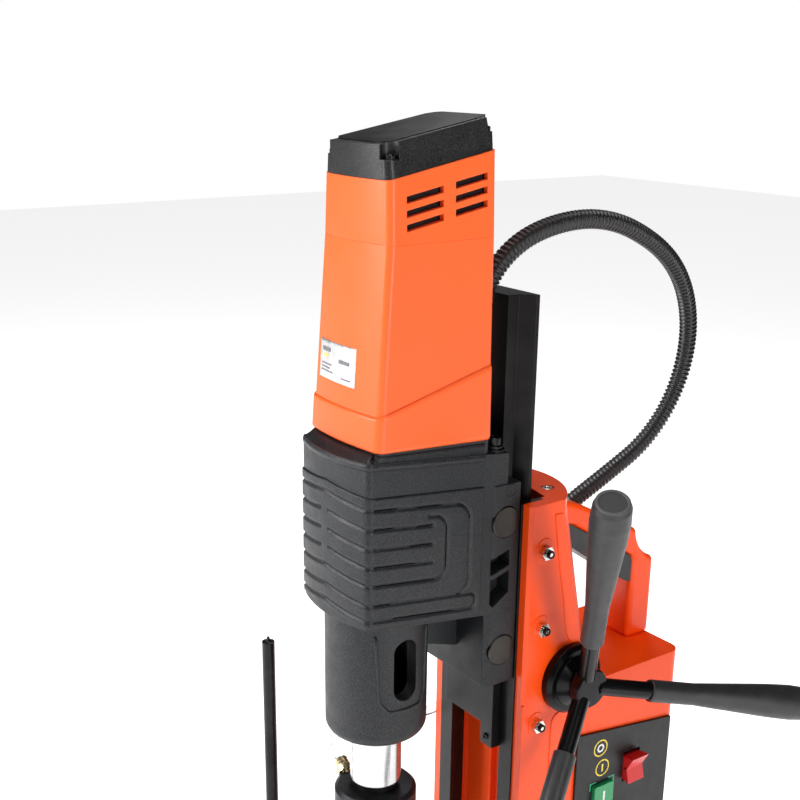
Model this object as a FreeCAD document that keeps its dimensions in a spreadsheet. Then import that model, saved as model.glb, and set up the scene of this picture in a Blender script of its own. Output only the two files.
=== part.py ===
"""Magnetic-base core drill rig: an electromagnet foot, a dovetail stand, and a
motor carriage that a three-lever capstan feeds down through a rack and pinion.

Frame: +Z up, origin at the centre of the magnet's bottom face, -Y towards the
spindle, +X towards the capstan and the control panel. Millimetres throughout.
"""
import FreeCAD, Part
import Sketcher
import math
import os
from types import SimpleNamespace

Vector = FreeCAD.Vector
doc = FreeCAD.newDocument("CoreDrillRig")
sheet = doc.addObject("Spreadsheet::Sheet", "Sizes")


class Size:
    """A number that remembers the sheet expression it comes from."""

    def __init__(self, value, text):
        self.value = float(value)
        self.text = text

    def __add__(self, other):
        return Size(self.value + number(other), "(%s + %s)" % (self.text, text_of(other)))

    def __radd__(self, other):
        return Size(number(other) + self.value, "(%s + %s)" % (text_of(other), self.text))

    def __sub__(self, other):
        return Size(self.value - number(other), "(%s - %s)" % (self.text, text_of(other)))

    def __rsub__(self, other):
        return Size(number(other) - self.value, "(%s - %s)" % (text_of(other), self.text))

    def __mul__(self, other):
        return Size(self.value * number(other), "(%s * %s)" % (self.text, text_of(other)))

    def __rmul__(self, other):
        return Size(number(other) * self.value, "(%s * %s)" % (text_of(other), self.text))

    def __truediv__(self, other):
        return Size(self.value / number(other), "(%s / %s)" % (self.text, text_of(other)))

    def __rtruediv__(self, other):
        return Size(number(other) / self.value, "(%s / %s)" % (text_of(other), self.text))

    def __neg__(self):
        return Size(-self.value, "(0 - %s)" % self.text)


def mm(value):
    """A plain length that no other size depends on."""
    return Size(value, "(%g)" % value)


def number(size):
    return size.value if isinstance(size, Size) else float(size)


def text_of(size):
    return size.text if isinstance(size, Size) else "(%.6f)" % size


SIZES = [
    # magnet foot
    ("MagnetLength", 200, "magnet, front to back"),
    ("MagnetWidth", 100, "magnet, side to side"),
    ("MagnetHeight", 58, "magnet block"),
    ("CoilDepth", 44, "coil groove, from the bottom face"),
    ("PoleWidth", 36, "centre pole, side to side"),
    ("CoilWidth", 18, "coil groove, across"),
    ("PottingRecess", 1.5, "potting sits this far above the bottom face"),
    # machine layout
    ("SpindleReach", 145, "spindle axis in front of the magnet's centre"),
    ("NoseHeight", 300, "nose bottom above the ground, carriage up"),
    ("Stroke", 190, "feed stroke"),
    ("SlideGap", 0.2, "clearance between the slide and its ways"),
    ("FitGap", 0.3, "plain clearance between moving neighbours"),
    ("RunningGap", 0.05, "radial clearance of a shaft in its bore"),
    ("TipHeight", 0.85, "gear tooth above its pitch circle, in modules, eased for clearance"),
    ("PadGap", 0.05, "glue line between the handle and its pad"),
    # stand casting
    ("StandWidth", 110, "stand, side to side"),
    ("StandFront", 44, "stand's front face in front of the magnet's centre"),
    ("StandTop", 474, "stand's top above the ground"),
    ("StandSide", 10, "straight side ends this far in front of the centre, at the top"),
    ("StandBack", 18, "stand's back behind the centre, at the top"),
    ("StandFlare", 24, "the back leans out by this much at the shoulder"),
    ("ShoulderHeight", 350, "the back is upright below this"),
    ("TopBand", 10, "upright band at the top of the stand"),
    ("StandCorner", 2.5, "front corner chamfer"),
    ("ChannelFloor", 84, "the way channel starts above the foot"),
    ("HousingTop", 308, "top of the control housing"),
    ("HousingSplit", 30, "control housing starts behind the centre"),
    ("HousingBack", 136, "back of the control housing"),
    ("HousingWall", 4, "wall of the control housing"),
    ("StrapSlotHeight", 8, "slot for the safety strap"),
    ("StrapSlotWidth", 40, "slot for the safety strap"),
    # ways and slide
    ("WayOuter", 45.8, "outer face of each way strip from the centre line"),
    ("WayProud", 1.5, "strips stand in front of the stand"),
    ("WayBack", 24, "back of the strips in front of the centre"),
    ("NeckHalf", 30, "half width of the slide's neck"),
    ("TailHalf", 40, "half width of the slide's dovetail"),
    ("SlideFront", 53, "slide's front face in front of the magnet's centre"),
    ("FlankFront", 43, "dovetail flank starts in front of the centre"),
    ("FlankBack", 35, "dovetail flank ends in front of the centre"),
    ("SlideBack", 32, "slide's back face in front of the centre"),
    ("SlideTop", 329, "slide's top above the nose bottom"),
    ("SlideFoot", 20, "slide's foot below the nose bottom"),
    ("TabDrop", 18, "screw tab below the slide's foot"),
    # rack, pinion and capstan
    ("RackModule", 1.8, "module of rack and pinion"),
    ("RackDepth", 20, "rack, back of the slide to the tooth tips"),
    ("RackHalf", 10, "half width of the rack"),
    ("RackLow", 4, "rack's lower end below the nose bottom"),
    ("RackHigh", 230, "rack's upper end above the nose bottom"),
    ("PinionTeeth", 20, "feed pinion teeth"),
    ("PinionWidth", 20, "feed pinion"),
    ("CapstanHeight", 321, "capstan axis above the ground"),
    ("FeedShaftRadius", 8, "feed shaft"),
    ("FlangeRadius", 29, "bearing flange"),
    ("FlangeThick", 9, "bearing flange"),
    ("HubRadius", 16, "hub barrel"),
    ("HubBaseRadius", 22, "hub's wide end"),
    ("HubLength", 18, "hub along the shaft"),
    ("SpokeRadius", 7, "capstan levers"),
    ("GripStart", 58, "grip's inner end from the hub's centre"),
    ("GripEnd", 207, "grip's outer end from the hub's centre"),
    ("GripThin", 9, "grip radius at the thin end"),
    ("GripThick", 14.5, "grip radius near the outer end"),
    # gearbox casting
    ("NoseRadius", 38.8, "nose cylinder"),
    ("NoseEdge", 9, "rounding of the nose's lower edge"),
    ("GearboxHalf", 43.1, "half width of the gearbox"),
    ("GearboxFront", 36, "gearbox corners in front of the spindle axis"),
    ("GearboxBulge", 8, "the front face bows out by this much"),
    ("GearboxBack", 87, "gearbox's back behind the spindle axis"),
    ("GearRoomBack", 66, "gear room's back behind the spindle axis"),
    ("BracketFront", 71, "bracket's front behind the spindle axis"),
    ("GearboxWall", 5, "casting wall"),
    ("GearboxFrontLow", 105.5, "front lower edge above the nose bottom"),
    ("GearboxBackLow", 88, "back lower edge above the nose bottom"),
    ("GearboxFrontTop", 229, "front shoulder above the nose bottom"),
    ("GearboxBackTop", 216, "back shelf above the nose bottom"),
    ("BracketHalf", 44.1, "half width of the slide bracket"),
    ("BracketBack", 99, "bracket's back behind the spindle axis"),
    ("BracketLow", 29, "bracket's foot above the nose bottom"),
    ("BracketHigh", 192, "bracket's top above the nose bottom"),
    ("BracketBevel", 4.5, "bevel of the bracket's front corners"),
    ("WindowDepth", 14, "casting pockets in the bracket's cheeks"),
    ("CapRadius", 12.5, "round covers on the bracket's cheeks"),
    ("CapDepth", 6, "round covers"),
    ("CapReach", 86, "cover centres behind the spindle axis"),
    ("DriftSlotWidth", 20, "ejector slot in the nose"),
    ("DriftSlotLow", 38, "ejector slot above the nose bottom"),
    ("DriftSlotHigh", 88, "ejector slot above the nose bottom"),
    # spindle and gears
    ("SpindleRadius", 20, "spindle's outside"),
    ("SpindleDrop", 45, "spindle below the nose bottom"),
    ("ArborRadius", 16, "arbor neck"),
    ("ArborLength", 100, "arbor, below the spindle's flange"),
    ("CutterBore", 9.525, "radius of the cutter socket"),
    ("CutterDepth", 48, "depth of the cutter socket"),
    ("CollarRadius", 32, "coolant collar"),
    ("CollarHeight", 42, "coolant collar"),
    ("FinalModule", 1.25, "final gear pair"),
    ("SpindleTeeth", 52, "spindle gear"),
    ("LayTeeth", 20, "lay shaft pinion"),
    ("FirstModule", 1.0, "first gear pair"),
    ("LayWheelTeeth", 30, "lay shaft wheel"),
    ("MotorTeeth", 10, "armature pinion"),
    ("GearWidth", 14, "gear faces"),
    ("SpindleGearZ", 122, "spindle gear above the nose bottom"),
    ("LayWheelZ", 142, "lay wheel above the nose bottom"),
    ("LayShaftRadius", 5, "lay shaft"),
    ("BearingPlateZ", 204, "bearing plate above the nose bottom"),
    ("BearingPlateThick", 8, "bearing plate"),
    ("SpindleShaftRadius", 12, "spindle inside the gearbox"),
    # motor
    ("SkirtHalf", 42.6, "motor skirt, half width at its foot"),
    ("SkirtFront", 29.6, "skirt corners in front of the spindle axis"),
    ("SeamHalf", 40.4, "motor housing, half width at the seam"),
    ("SeamFront", 19.7, "seam corners in front of the spindle axis"),
    ("CrownHalf", 38.1, "motor housing, half width under the cap"),
    ("CrownFront", 19.0, "crown corners in front of the spindle axis"),
    ("MotorBack", 71, "motor's back behind the spindle axis"),
    ("MotorBulge", 3, "the motor's front bows out by this much"),
    ("PlateShift", 9, "rating plate's centre, away from the capstan side"),
    ("SkirtFrontLow", 235, "skirt's front edge above the nose bottom"),
    ("SkirtBackLow", 229, "skirt's back edge above the nose bottom"),
    ("SeamZ", 373, "seam above the nose bottom"),
    ("CrownFrontZ", 414, "housing's front top above the nose bottom"),
    ("CrownBackZ", 431, "housing's back top above the nose bottom"),
    ("CapRise", 22, "end cap's height"),
    ("CapTopHalf", 33.5, "end cap, half width at the top"),
    ("CapNotch", 6.5, "radius of the screw notches in the cap's corners"),
    ("CapNotchDepth", 10, "depth of the screw notches"),
    ("MotorCorner", 6, "motor housing corners"),
    ("MotorWall", 3, "motor housing wall"),
    ("StatorRadius", 32, "stator stack"),
    ("ArmatureRadius", 19, "armature stack"),
    ("ArmatureShaft", 4, "armature shaft radius"),
    ("MotorReach", 25, "motor axis behind the spindle axis"),
    # cables and hoses
    ("ConduitRadius", 7.5, "corrugated motor conduit"),
    ("HoseRadius", 4, "clear coolant hose"),
]

S = SimpleNamespace()
for row, (alias, value, note) in enumerate(SIZES, start=1):
    sheet.set("A%d" % row, note)
    sheet.set("B%d" % row, str(value))
    sheet.setAlias("B%d" % row, alias)
    setattr(S, alias, Size(value, "Sizes." + alias))
doc.recompute()

nodes = []


# ---------------------------------------------------------------- modelling

def keep(thing, label):
    """Mark a finished sub-part: its label is its file's name."""
    thing.Label = label
    nodes.append(thing)
    return thing


def bind(thing, path, size):
    thing.setExpression(path, text_of(size))


def place(thing, x=0, y=0, z=0, rotation=None):
    """Put an object at a bound position, turned about its own origin."""
    thing.Placement = FreeCAD.Placement(
        Vector(number(x), number(y), number(z)), rotation or FreeCAD.Rotation())
    for axis, size in (("x", x), ("y", y), ("z", z)):
        if isinstance(size, Size):
            bind(thing, "Placement.Base." + axis, size)


def new_body(name, x=0, y=0, z=0, rotation=None):
    body = doc.addObject("PartDesign::Body", name)
    place(body, x, y, z, rotation)
    return body


class Arc:
    """An outline stretch that bows to the left (+1) or right (-1) of its run."""

    def __init__(self, u, v, radius, side=1):
        self.u = u
        self.v = v
        self.radius = radius
        self.side = side


def sketch_on(body, plane, offset):
    sketch = body.newObject("Sketcher::SketchObject", body.Name + "Sketch")
    origin = [f for f in body.Origin.OriginFeatures if f.Role == plane + "_Plane"]
    sketch.AttachmentSupport = [(origin[0], "")]
    sketch.MapMode = "FlatFace"
    bind(sketch, "AttachmentOffset.Base.z", offset)
    return sketch


def fix_point(sketch, edge, end, u, v):
    for kind, size in (("DistanceX", u), ("DistanceY", v)):
        index = sketch.addConstraint(Sketcher.Constraint(kind, edge, end, number(size)))
        if isinstance(size, Size):
            bind(sketch, "Constraints[%d]" % index, size)


def draw_loop(sketch, corners):
    """A closed outline: (u, v) corners and Arc ends, each fixed by its own sizes."""
    spots = [(c.u, c.v) if isinstance(c, Arc) else c for c in corners]
    ends = []
    for i, corner in enumerate(corners):
        u0, v0 = spots[i - 1]
        u1, v1 = spots[i]
        start = Vector(number(u0), number(v0), 0)
        stop = Vector(number(u1), number(v1), 0)
        if not isinstance(corner, Arc):
            edge = sketch.addGeometry(Part.LineSegment(start, stop), False)
            ends.append((edge, 1, 2))
            continue
        radius = number(corner.radius)
        chord = stop - start
        left = Vector(-chord.y, chord.x, 0).normalize()
        rise = math.sqrt(max(radius ** 2 - (chord.Length / 2) ** 2, 0))
        centre = (start + stop) / 2 - left * corner.side * rise
        a, b = (start, stop) if corner.side < 0 else (stop, start)
        first = math.atan2(a.y - centre.y, a.x - centre.x)
        last = math.atan2(b.y - centre.y, b.x - centre.x)
        circle = Part.Circle(centre, Vector(0, 0, 1), radius)
        edge = sketch.addGeometry(Part.ArcOfCircle(circle, first, last), False)
        ends.append((edge, 1, 2) if corner.side < 0 else (edge, 2, 1))
        index = sketch.addConstraint(Sketcher.Constraint("Radius", edge, radius))
        bind(sketch, "Constraints[%d]" % index, corner.radius)
    for i, (edge, _, end) in enumerate(ends):
        after, begin, _ = ends[(i + 1) % len(ends)]
        sketch.addConstraint(Sketcher.Constraint("Coincident", edge, end, after, begin))
        fix_point(sketch, edge, end, *spots[i])


def draw_circle(sketch, u, v, radius):
    circle = Part.Circle(Vector(number(u), number(v), 0), Vector(0, 0, 1), number(radius))
    edge = sketch.addGeometry(circle, False)
    fix_point(sketch, edge, 3, u, v)
    index = sketch.addConstraint(Sketcher.Constraint("Radius", edge, number(radius)))
    bind(sketch, "Constraints[%d]" % index, radius)


def run(body, plane, low, high, *shapes, cut=False):
    """Pad (or pocket) outlines along a plane's axis, between two coordinates.

    An outline is a list of corners; a circle is a (u, v, radius) tuple.
    """
    offset = -high if plane == "XZ" else low
    sketch = sketch_on(body, plane, offset)
    for shape in shapes:
        if isinstance(shape, tuple):
            draw_circle(sketch, *shape)
        else:
            draw_loop(sketch, shape)
    feature = body.newObject("PartDesign::Pocket" if cut else "PartDesign::Pad", body.Name + "Run")
    feature.Profile = sketch
    bind(feature, "Length", high - low)
    feature.Reversed = cut
    return feature


def turn(body, outline, cut=False):
    """Revolve an (r, z) outline about the body's own Z axis."""
    sketch = sketch_on(body, "XZ", 0)
    draw_loop(sketch, outline)
    kind = "PartDesign::Groove" if cut else "PartDesign::Revolution"
    feature = body.newObject(kind, body.Name + "Turn")
    feature.Profile = sketch
    feature.ReferenceAxis = (sketch, ["V_Axis"])
    feature.Angle = 360
    return feature


def soften(body, radius, test, chamfer=False):
    """Round (or bevel) the edges of the body's tip that pass the test."""
    doc.recompute()
    tip = body.Tip
    names = ["Edge%d" % (i + 1) for i, edge in enumerate(tip.Shape.Edges) if test(edge)]
    feature = body.newObject("PartDesign::Chamfer" if chamfer else "PartDesign::Fillet", body.Name + "Edge")
    feature.Base = (tip, names)
    bind(feature, "Size" if chamfer else "Radius", radius)
    return feature


def along(edge, axis):
    """True for a straight edge parallel to the named axis."""
    if len(edge.Vertexes) != 2 or not isinstance(edge.Curve, Part.Line):
        return False
    run_of = edge.Vertexes[1].Point - edge.Vertexes[0].Point
    return abs(getattr(run_of.normalize(), axis)) > 0.999


def box(name, x, y, z):
    """A Part::Box between bound (low, high) pairs."""
    block = doc.addObject("Part::Box", name)
    for prop, (low, high) in (("Length", x), ("Width", y), ("Height", z)):
        bind(block, prop, high - low)
    place(block, x[0], y[0], z[0])
    return block


TURNED = {
    "X": FreeCAD.Rotation(Vector(0, 0, 1), Vector(1, 0, 0)),
    "Y": FreeCAD.Rotation(Vector(0, 0, 1), Vector(0, 1, 0)),
    "Z": FreeCAD.Rotation(),
}


def rod(name, axis, x, y, z, radius, length):
    """A Part::Cylinder that starts at a bound point and runs along +axis."""
    cylinder = doc.addObject("Part::Cylinder", name)
    bind(cylinder, "Radius", radius)
    bind(cylinder, "Height", length)
    place(cylinder, x, y, z, TURNED[axis] if isinstance(axis, str) else axis)
    return cylinder


# ------------------------------------------------------------ shared places

spindle_y = -S.SpindleReach
nose_z = S.NoseHeight
stand_half = S.StandWidth / 2
stand_front = -S.StandFront
slide_back = -S.SlideBack
pitch_radius = S.RackModule * S.PinionTeeth / 2
rack_tips = slide_back + S.RackDepth
capstan_y = rack_tips - S.RackModule + pitch_radius
capstan_z = S.CapstanHeight
back_radius = (stand_half * stand_half + (S.StandBack + S.StandSide) * (S.StandBack + S.StandSide)) \
    / (2 * (S.StandBack + S.StandSide))
hub_x = stand_half + S.FlangeThick + S.FitGap


def rectangle(low_u, high_u, low_v, high_v):
    return [(low_u, low_v), (high_u, low_v), (high_u, high_v), (low_u, high_v)]


# ------------------------------------------------------------------- magnet

def make_magnet():
    half_x = S.MagnetWidth / 2
    half_y = S.MagnetLength / 2
    margin = half_x - S.PoleWidth / 2 - S.CoilWidth
    pole_y = half_y - margin - S.CoilWidth
    outer = rectangle(-half_x + margin, half_x - margin, -half_y + margin, half_y - margin)
    inner = rectangle(-S.PoleWidth / 2, S.PoleWidth / 2, -pole_y, pole_y)
    core = new_body("MagnetCore")
    run(core, "XY", mm(0), S.MagnetHeight, rectangle(-half_x, half_x, -half_y, half_y))
    run(core, "XY", mm(0), S.CoilDepth, outer, inner, cut=True)
    soften(core, mm(3), lambda e: along(e, "z") and abs(e.Vertexes[0].X) > half_x.value - 1)
    keep(core, "magnet_core")
    coil = new_body("MagnetCoil")
    run(coil, "XY", S.PottingRecess, S.CoilDepth, outer, inner)
    keep(coil, "magnet_coil")


# -------------------------------------------------------------------- stand

def stand_outline(side_y, back_y):
    bevel = S.StandCorner
    return [
        (-stand_half + bevel, stand_front), (stand_half - bevel, stand_front),
        (stand_half, stand_front + bevel), (stand_half, side_y),
        Arc(-stand_half, side_y, back_radius, -1), (-stand_half, stand_front + bevel),
    ]


def make_stand():
    body = new_body("StandColumn")
    shoulder = S.ShoulderHeight
    band = S.StandTop - S.TopBand
    low_side = S.StandFlare - S.StandSide
    run(body, "XY", S.MagnetHeight, S.HousingTop,
        rectangle(-stand_half, stand_half, stand_front, S.HousingSplit))
    run(body, "XY", S.HousingTop, shoulder, stand_outline(low_side, None))
    lower = sketch_on(body, "XY", shoulder)
    draw_loop(lower, stand_outline(low_side, None))
    upper = sketch_on(body, "XY", band)
    draw_loop(upper, stand_outline(-S.StandSide, None))
    loft = body.newObject("PartDesign::AdditiveLoft", "StandFlareLoft")
    loft.Profile = lower
    loft.Sections = [upper]
    loft.Ruled = True
    run(body, "XY", band, S.StandTop, stand_outline(-S.StandSide, None))
    way = S.WayOuter
    seat = -S.WayBack
    tail = S.TailHalf + 1.5
    pocket = 14.7
    channel = [
        (way, stand_front - 5), (way, seat), (tail, seat), (tail, seat + 5),
        (pocket, seat + 10), (pocket, rack_tips + 4), (-pocket, rack_tips + 4), (-pocket, seat + 10),
        (-tail, seat + 5), (-tail, seat), (-way, seat), (-way, stand_front - 5),
    ]
    run(body, "XY", S.ChannelFloor, S.StandTop + 5, channel, cut=True)
    gear_room = pitch_radius + S.RackModule + 1.5
    gear_half = S.PinionWidth / 2 + 3
    run(body, "YZ", -gear_half, gear_half, (capstan_y, capstan_z, gear_room), cut=True)
    run(body, "YZ", -stand_half - 1, stand_half + 1,
        (capstan_y, capstan_z, S.FeedShaftRadius + S.RunningGap), cut=True)
    slot_z = S.MagnetHeight + 7
    run(body, "YZ", -stand_half - 1, stand_half + 1,
        rectangle(-S.StrapSlotWidth * 0.75, S.StrapSlotWidth * 0.25, slot_z, slot_z + S.StrapSlotHeight),
        cut=True)
    for height in gib_heights:
        run(body, "YZ", S.WayOuter - 1, stand_half + 1, (gib_y, height, gib_radius + 0.1), cut=True)
    for side in (-1, 1):
        run(body, "XY", S.StandTop - top_recess, S.StandTop + 1,
            (side * top_screw_x, top_screw_y, top_screw_radius), cut=True)
    room = S.FitGap * 5
    run(body, "XY", tab_low - S.Stroke - room, S.ChannelFloor + 1,
        rectangle(S.NeckHalf - tab_width - room, S.NeckHalf + room,
                  stand_front - room, room - S.FlankFront), cut=True)
    keep(body, "stand_column")


gib_y = mm(-29)
gib_radius = mm(3)
gib_top = S.StandTop - 38.5
gib_heights = [gib_top - drop for drop in (0, 63.8, 147.8, 295)]
top_screw_x = mm(26.4)
top_screw_y = mm(-3)
top_screw_radius = mm(5.3)
top_recess = mm(4)
tab_width = mm(14)
tab_low = nose_z - S.SlideFoot - S.TabDrop


def make_ways():
    rise = (S.TailHalf - S.NeckHalf) / (S.FlankFront - S.FlankBack)
    for side, name in ((1, "right"), (-1, "left")):
        lip = S.NeckHalf + 0.8
        tail = S.TailHalf + 0.8
        flank_lip = -S.FlankFront + 0.8 / rise - 2 * S.SlideGap
        flank_tail = -S.FlankBack + 0.8 / rise - 2 * S.SlideGap
        front = stand_front - S.WayProud
        strip = [
            (side * lip, front), (side * S.WayOuter, front), (side * S.WayOuter, -S.WayBack),
            (side * tail, -S.WayBack), (side * tail, flank_tail), (side * lip, flank_lip),
        ]
        body = new_body("Way" + name.title())
        run(body, "XY", S.ChannelFloor, S.StandTop, strip)
        keep(body, "way_strip_" + name)


def make_gib_screws():
    nut_flat = 5.0
    corner = nut_flat / math.cos(math.radians(30))
    for index, height in enumerate(gib_heights, start=1):
        hexagon = [(gib_y + corner * math.cos(math.radians(60 * k)),
                    height + corner * math.sin(math.radians(60 * k))) for k in range(6)]
        screw = new_body("GibScrew%d" % index)
        run(screw, "YZ", S.WayOuter, stand_half + 8, (gib_y, height, gib_radius))
        run(screw, "YZ", stand_half, stand_half + 5, hexagon)
        keep(screw, "gib_screw_%d" % index)


# ---------------------------------------------------------- control housing

panel_top_front = S.HousingTop - 46
panel_slope = mm(0.147)
panel_thick = mm(2.5)
panel_low = mm(96)
panel_front = mm(17)
button_half = mm(11)
button_y = mm(48)
start_z = mm(197)
stop_z = mm(163)
switch_y = mm(82)
switch_z = mm(214)
dial_z = mm(152)


def panel_edge(y):
    """Height of the panel's sloping top edge at a distance behind the centre."""
    return panel_top_front - (y - panel_front) * panel_slope


def make_housing():
    wall = S.HousingWall
    body = new_body("ControlHousing")
    run(body, "XY", S.MagnetHeight, S.HousingTop,
        rectangle(-stand_half, stand_half, S.HousingSplit, S.HousingBack))
    soften(body, mm(10), lambda e: along(e, "z") and e.Vertexes[0].Y > S.HousingBack.value - 1)
    room_top = panel_edge(S.HousingBack) - 12
    run(body, "YZ", -stand_half + wall, stand_half + 1,
        rectangle(S.HousingSplit + wall, S.HousingBack - 14, panel_low + 6, room_top), cut=True)
    run(body, "XZ", S.HousingBack - 16, S.HousingBack + 1, (-20, S.MagnetHeight + 62, mm(8.1)), cut=True)
    keep(body, "control_housing")


def square(y, z, half):
    return rectangle(y - half, y + half, z - half, z + half)


def make_panel():
    body = new_body("ControlPanel")
    back = S.HousingBack - 8
    outline = [(panel_front, panel_low), (back, panel_low), (back, panel_edge(back)),
               (panel_front, panel_top_front)]
    run(body, "YZ", stand_half, stand_half + panel_thick, outline)
    for z in (start_z, stop_z):
        run(body, "YZ", stand_half - 1, stand_half + panel_thick + 1,
            square(button_y, z, button_half + S.FitGap), cut=True)
    run(body, "YZ", stand_half - 1, stand_half + panel_thick + 1,
        rectangle(switch_y - 9.5 - S.FitGap, switch_y + 9.5 + S.FitGap,
                  switch_z - 13.5 - S.FitGap, switch_z + 13.5 + S.FitGap), cut=True)
    run(body, "YZ", stand_half - 1, stand_half + panel_thick + 1, (switch_y, dial_z, 3 + S.FitGap), cut=True)
    keep(body, "control_panel")


def make_controls():
    for label, z in (("start_button", start_z), ("stop_button", stop_z)):
        body = new_body(label.title().replace("_", ""))
        run(body, "YZ", stand_half - 6, stand_half + panel_thick + 3.5, square(button_y, z, button_half))
        soften(body, mm(2), lambda e: along(e, "x"))
        keep(body, label)
    face = stand_half + panel_thick
    rocker = new_body("MagnetSwitch", face + 2, switch_y, switch_z)
    rocker_half = mm(9.4)
    run(rocker, "XZ", -rocker_half, rocker_half,
        [(-5, -10), (5.5, -12.8), (2.5, 0), (9, 12.3), (-5, 10)])
    run(rocker, "XZ", -rocker_half - 1, rocker_half + 1, (0, 0, mm(1.5)), cut=True)
    keep(rocker, "magnet_switch")
    dial = new_body("SpeedDial", stand_half - 4, switch_y, dial_z, TURNED["X"])
    turn(dial, [(0, 0), (3, 0), (3, panel_thick + 4 + S.FitGap), (12, panel_thick + 4 + S.FitGap),
                (11, panel_thick + 16), (0, panel_thick + 16)])
    keep(dial, "speed_dial")
    inlet = new_body("CordGland", -20, S.HousingBack - 6, S.MagnetHeight + 62, TURNED["Y"])
    turn(inlet, [(4, 0), (8, 0), (8, 6), (11, 6), (11, 14), (8, 22), (5.5, 38), (4, 38)])
    keep(inlet, "cord_gland")


# ------------------------------------------------------------------- handle

bar_half = mm(16)
grip_half = mm(15)


def make_handle():
    start_y = S.StandBack + 2
    drop = S.StandTop
    back = S.HousingBack + 1
    inner_y = S.HousingBack - 26
    low_end = (inner_y, drop - 88)
    high_end = (start_y + 12, drop - 41)
    bar = new_body("HandleBar")
    run(bar, "YZ", -bar_half, bar_half, [
        (start_y, drop - 18), (start_y + 28, drop - 29), (inner_y + 4, drop - 64),
        Arc(back, drop - 94, mm(34), -1), (back, S.HousingTop), (inner_y, S.HousingTop),
        low_end, high_end, (start_y, drop - 38),
    ])
    soften(bar, mm(5), lambda e: long_edge(e, bar_half) and e.BoundBox.YMax > start_y.value + 13)
    keep(bar, "handle_bar")
    pad = new_body("HandleGrip", 0, -S.PadGap, -S.PadGap)
    relief = 0.04
    run(pad, "YZ", -grip_half, grip_half, [
        high_end, (high_end[0] + 2, drop - 61), (inner_y - 8, drop - 108), (inner_y, drop - 112),
        (inner_y, low_end[1] - 4),
        (inner_y - (inner_y - high_end[0]) * relief, low_end[1] + (high_end[1] - low_end[1]) * relief),
    ])
    keep(pad, "handle_grip")


def long_edge(edge, half):
    """True for an edge over 25 mm long whose ends lie on the side faces."""
    flat = all(abs(abs(v.X) - half.value) < 0.01 for v in edge.Vertexes)
    return flat and edge.Length > 25


# ------------------------------------------------------------------ capstan

def make_capstan():
    flange = new_body("CapstanFlange", stand_half, capstan_y, capstan_z, TURNED["X"])
    bore = S.FeedShaftRadius + S.RunningGap
    turn(flange, [(bore, 0), (S.FlangeRadius, 0), (S.FlangeRadius, S.FlangeThick - 3),
                  (S.FlangeRadius - 3, S.FlangeThick), (bore, S.FlangeThick)])
    keep(flange, "capstan_flange")
    cover = new_body("ShaftCover", -stand_half, capstan_y, capstan_z,
                     FreeCAD.Rotation(Vector(0, 0, 1), Vector(-1, 0, 0)))
    turn(cover, [(0, 3), (bore + 2, 3), (bore + 2, 0), (18, 0), (16, 7), (0, 7)])
    keep(cover, "shaft_cover")
    shaft = rod("FeedShaft", "X", -stand_half + 1, capstan_y, capstan_z, S.FeedShaftRadius,
                stand_half * 2 - 1 + S.FlangeThick + S.HubLength - 6)
    keep(shaft, "feed_shaft")
    pinion = gear("FeedPinion", S.PinionTeeth, S.RackModule, S.PinionWidth, S.FeedShaftRadius + 0.02)
    place(pinion, -S.PinionWidth / 2, capstan_y, capstan_z,
          FreeCAD.Rotation(Vector(0, 0, 1), Vector(1, 0, 0)))
    keep(pinion, "feed_pinion")
    hub = new_body("CapstanHub", hub_x, capstan_y, capstan_z, TURNED["X"])
    seat = S.FeedShaftRadius + 0.02
    floor = S.HubLength - 6 - S.FitGap
    turn(hub, [(seat, 0), (S.HubBaseRadius, 0), (S.HubRadius - 2.5, 7), (S.HubRadius, 8.5),
               (S.HubRadius, S.HubLength - 1), (S.HubRadius - 1, S.HubLength), (0, S.HubLength),
               (0, floor + 0.02), (seat, floor + 0.02)])
    keep(hub, "capstan_hub")
    tilt = math.radians(20)
    for index in range(3):
        angle = math.radians(-17 + 120 * index)
        aim = Vector(math.sin(tilt), math.cos(tilt) * math.sin(angle), math.cos(tilt) * math.cos(angle))
        pose = FreeCAD.Rotation(Vector(0, 0, 1), aim)
        root_x = hub_x + 9.5
        spoke = new_body("Lever%d" % (index + 1), root_x, capstan_y, capstan_z, pose)
        turn(spoke, [(0, 11), (S.SpokeRadius - 1, 11), (S.SpokeRadius, 12),
                     (S.SpokeRadius, S.GripStart + 22), (0, S.GripStart + 22)])
        keep(spoke, "lever_%d" % (index + 1))
        grip = new_body("LeverGrip%d" % (index + 1), root_x, capstan_y, capstan_z, pose)
        bore = S.SpokeRadius + 0.02
        turn(grip, [(bore, S.GripStart), (S.GripThin, S.GripStart), (S.GripThin, S.GripStart + 40),
                    (S.GripThick - 0.8, S.GripEnd - 40), (S.GripThick, S.GripEnd - 18),
                    (S.GripThick - 0.8, S.GripEnd - 4), (S.GripThick - 2.5, S.GripEnd), (0, S.GripEnd),
                    (0, S.GripStart + 22.02), (bore, S.GripStart + 22.02)])
        keep(grip, "lever_grip_%d" % (index + 1))


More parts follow.
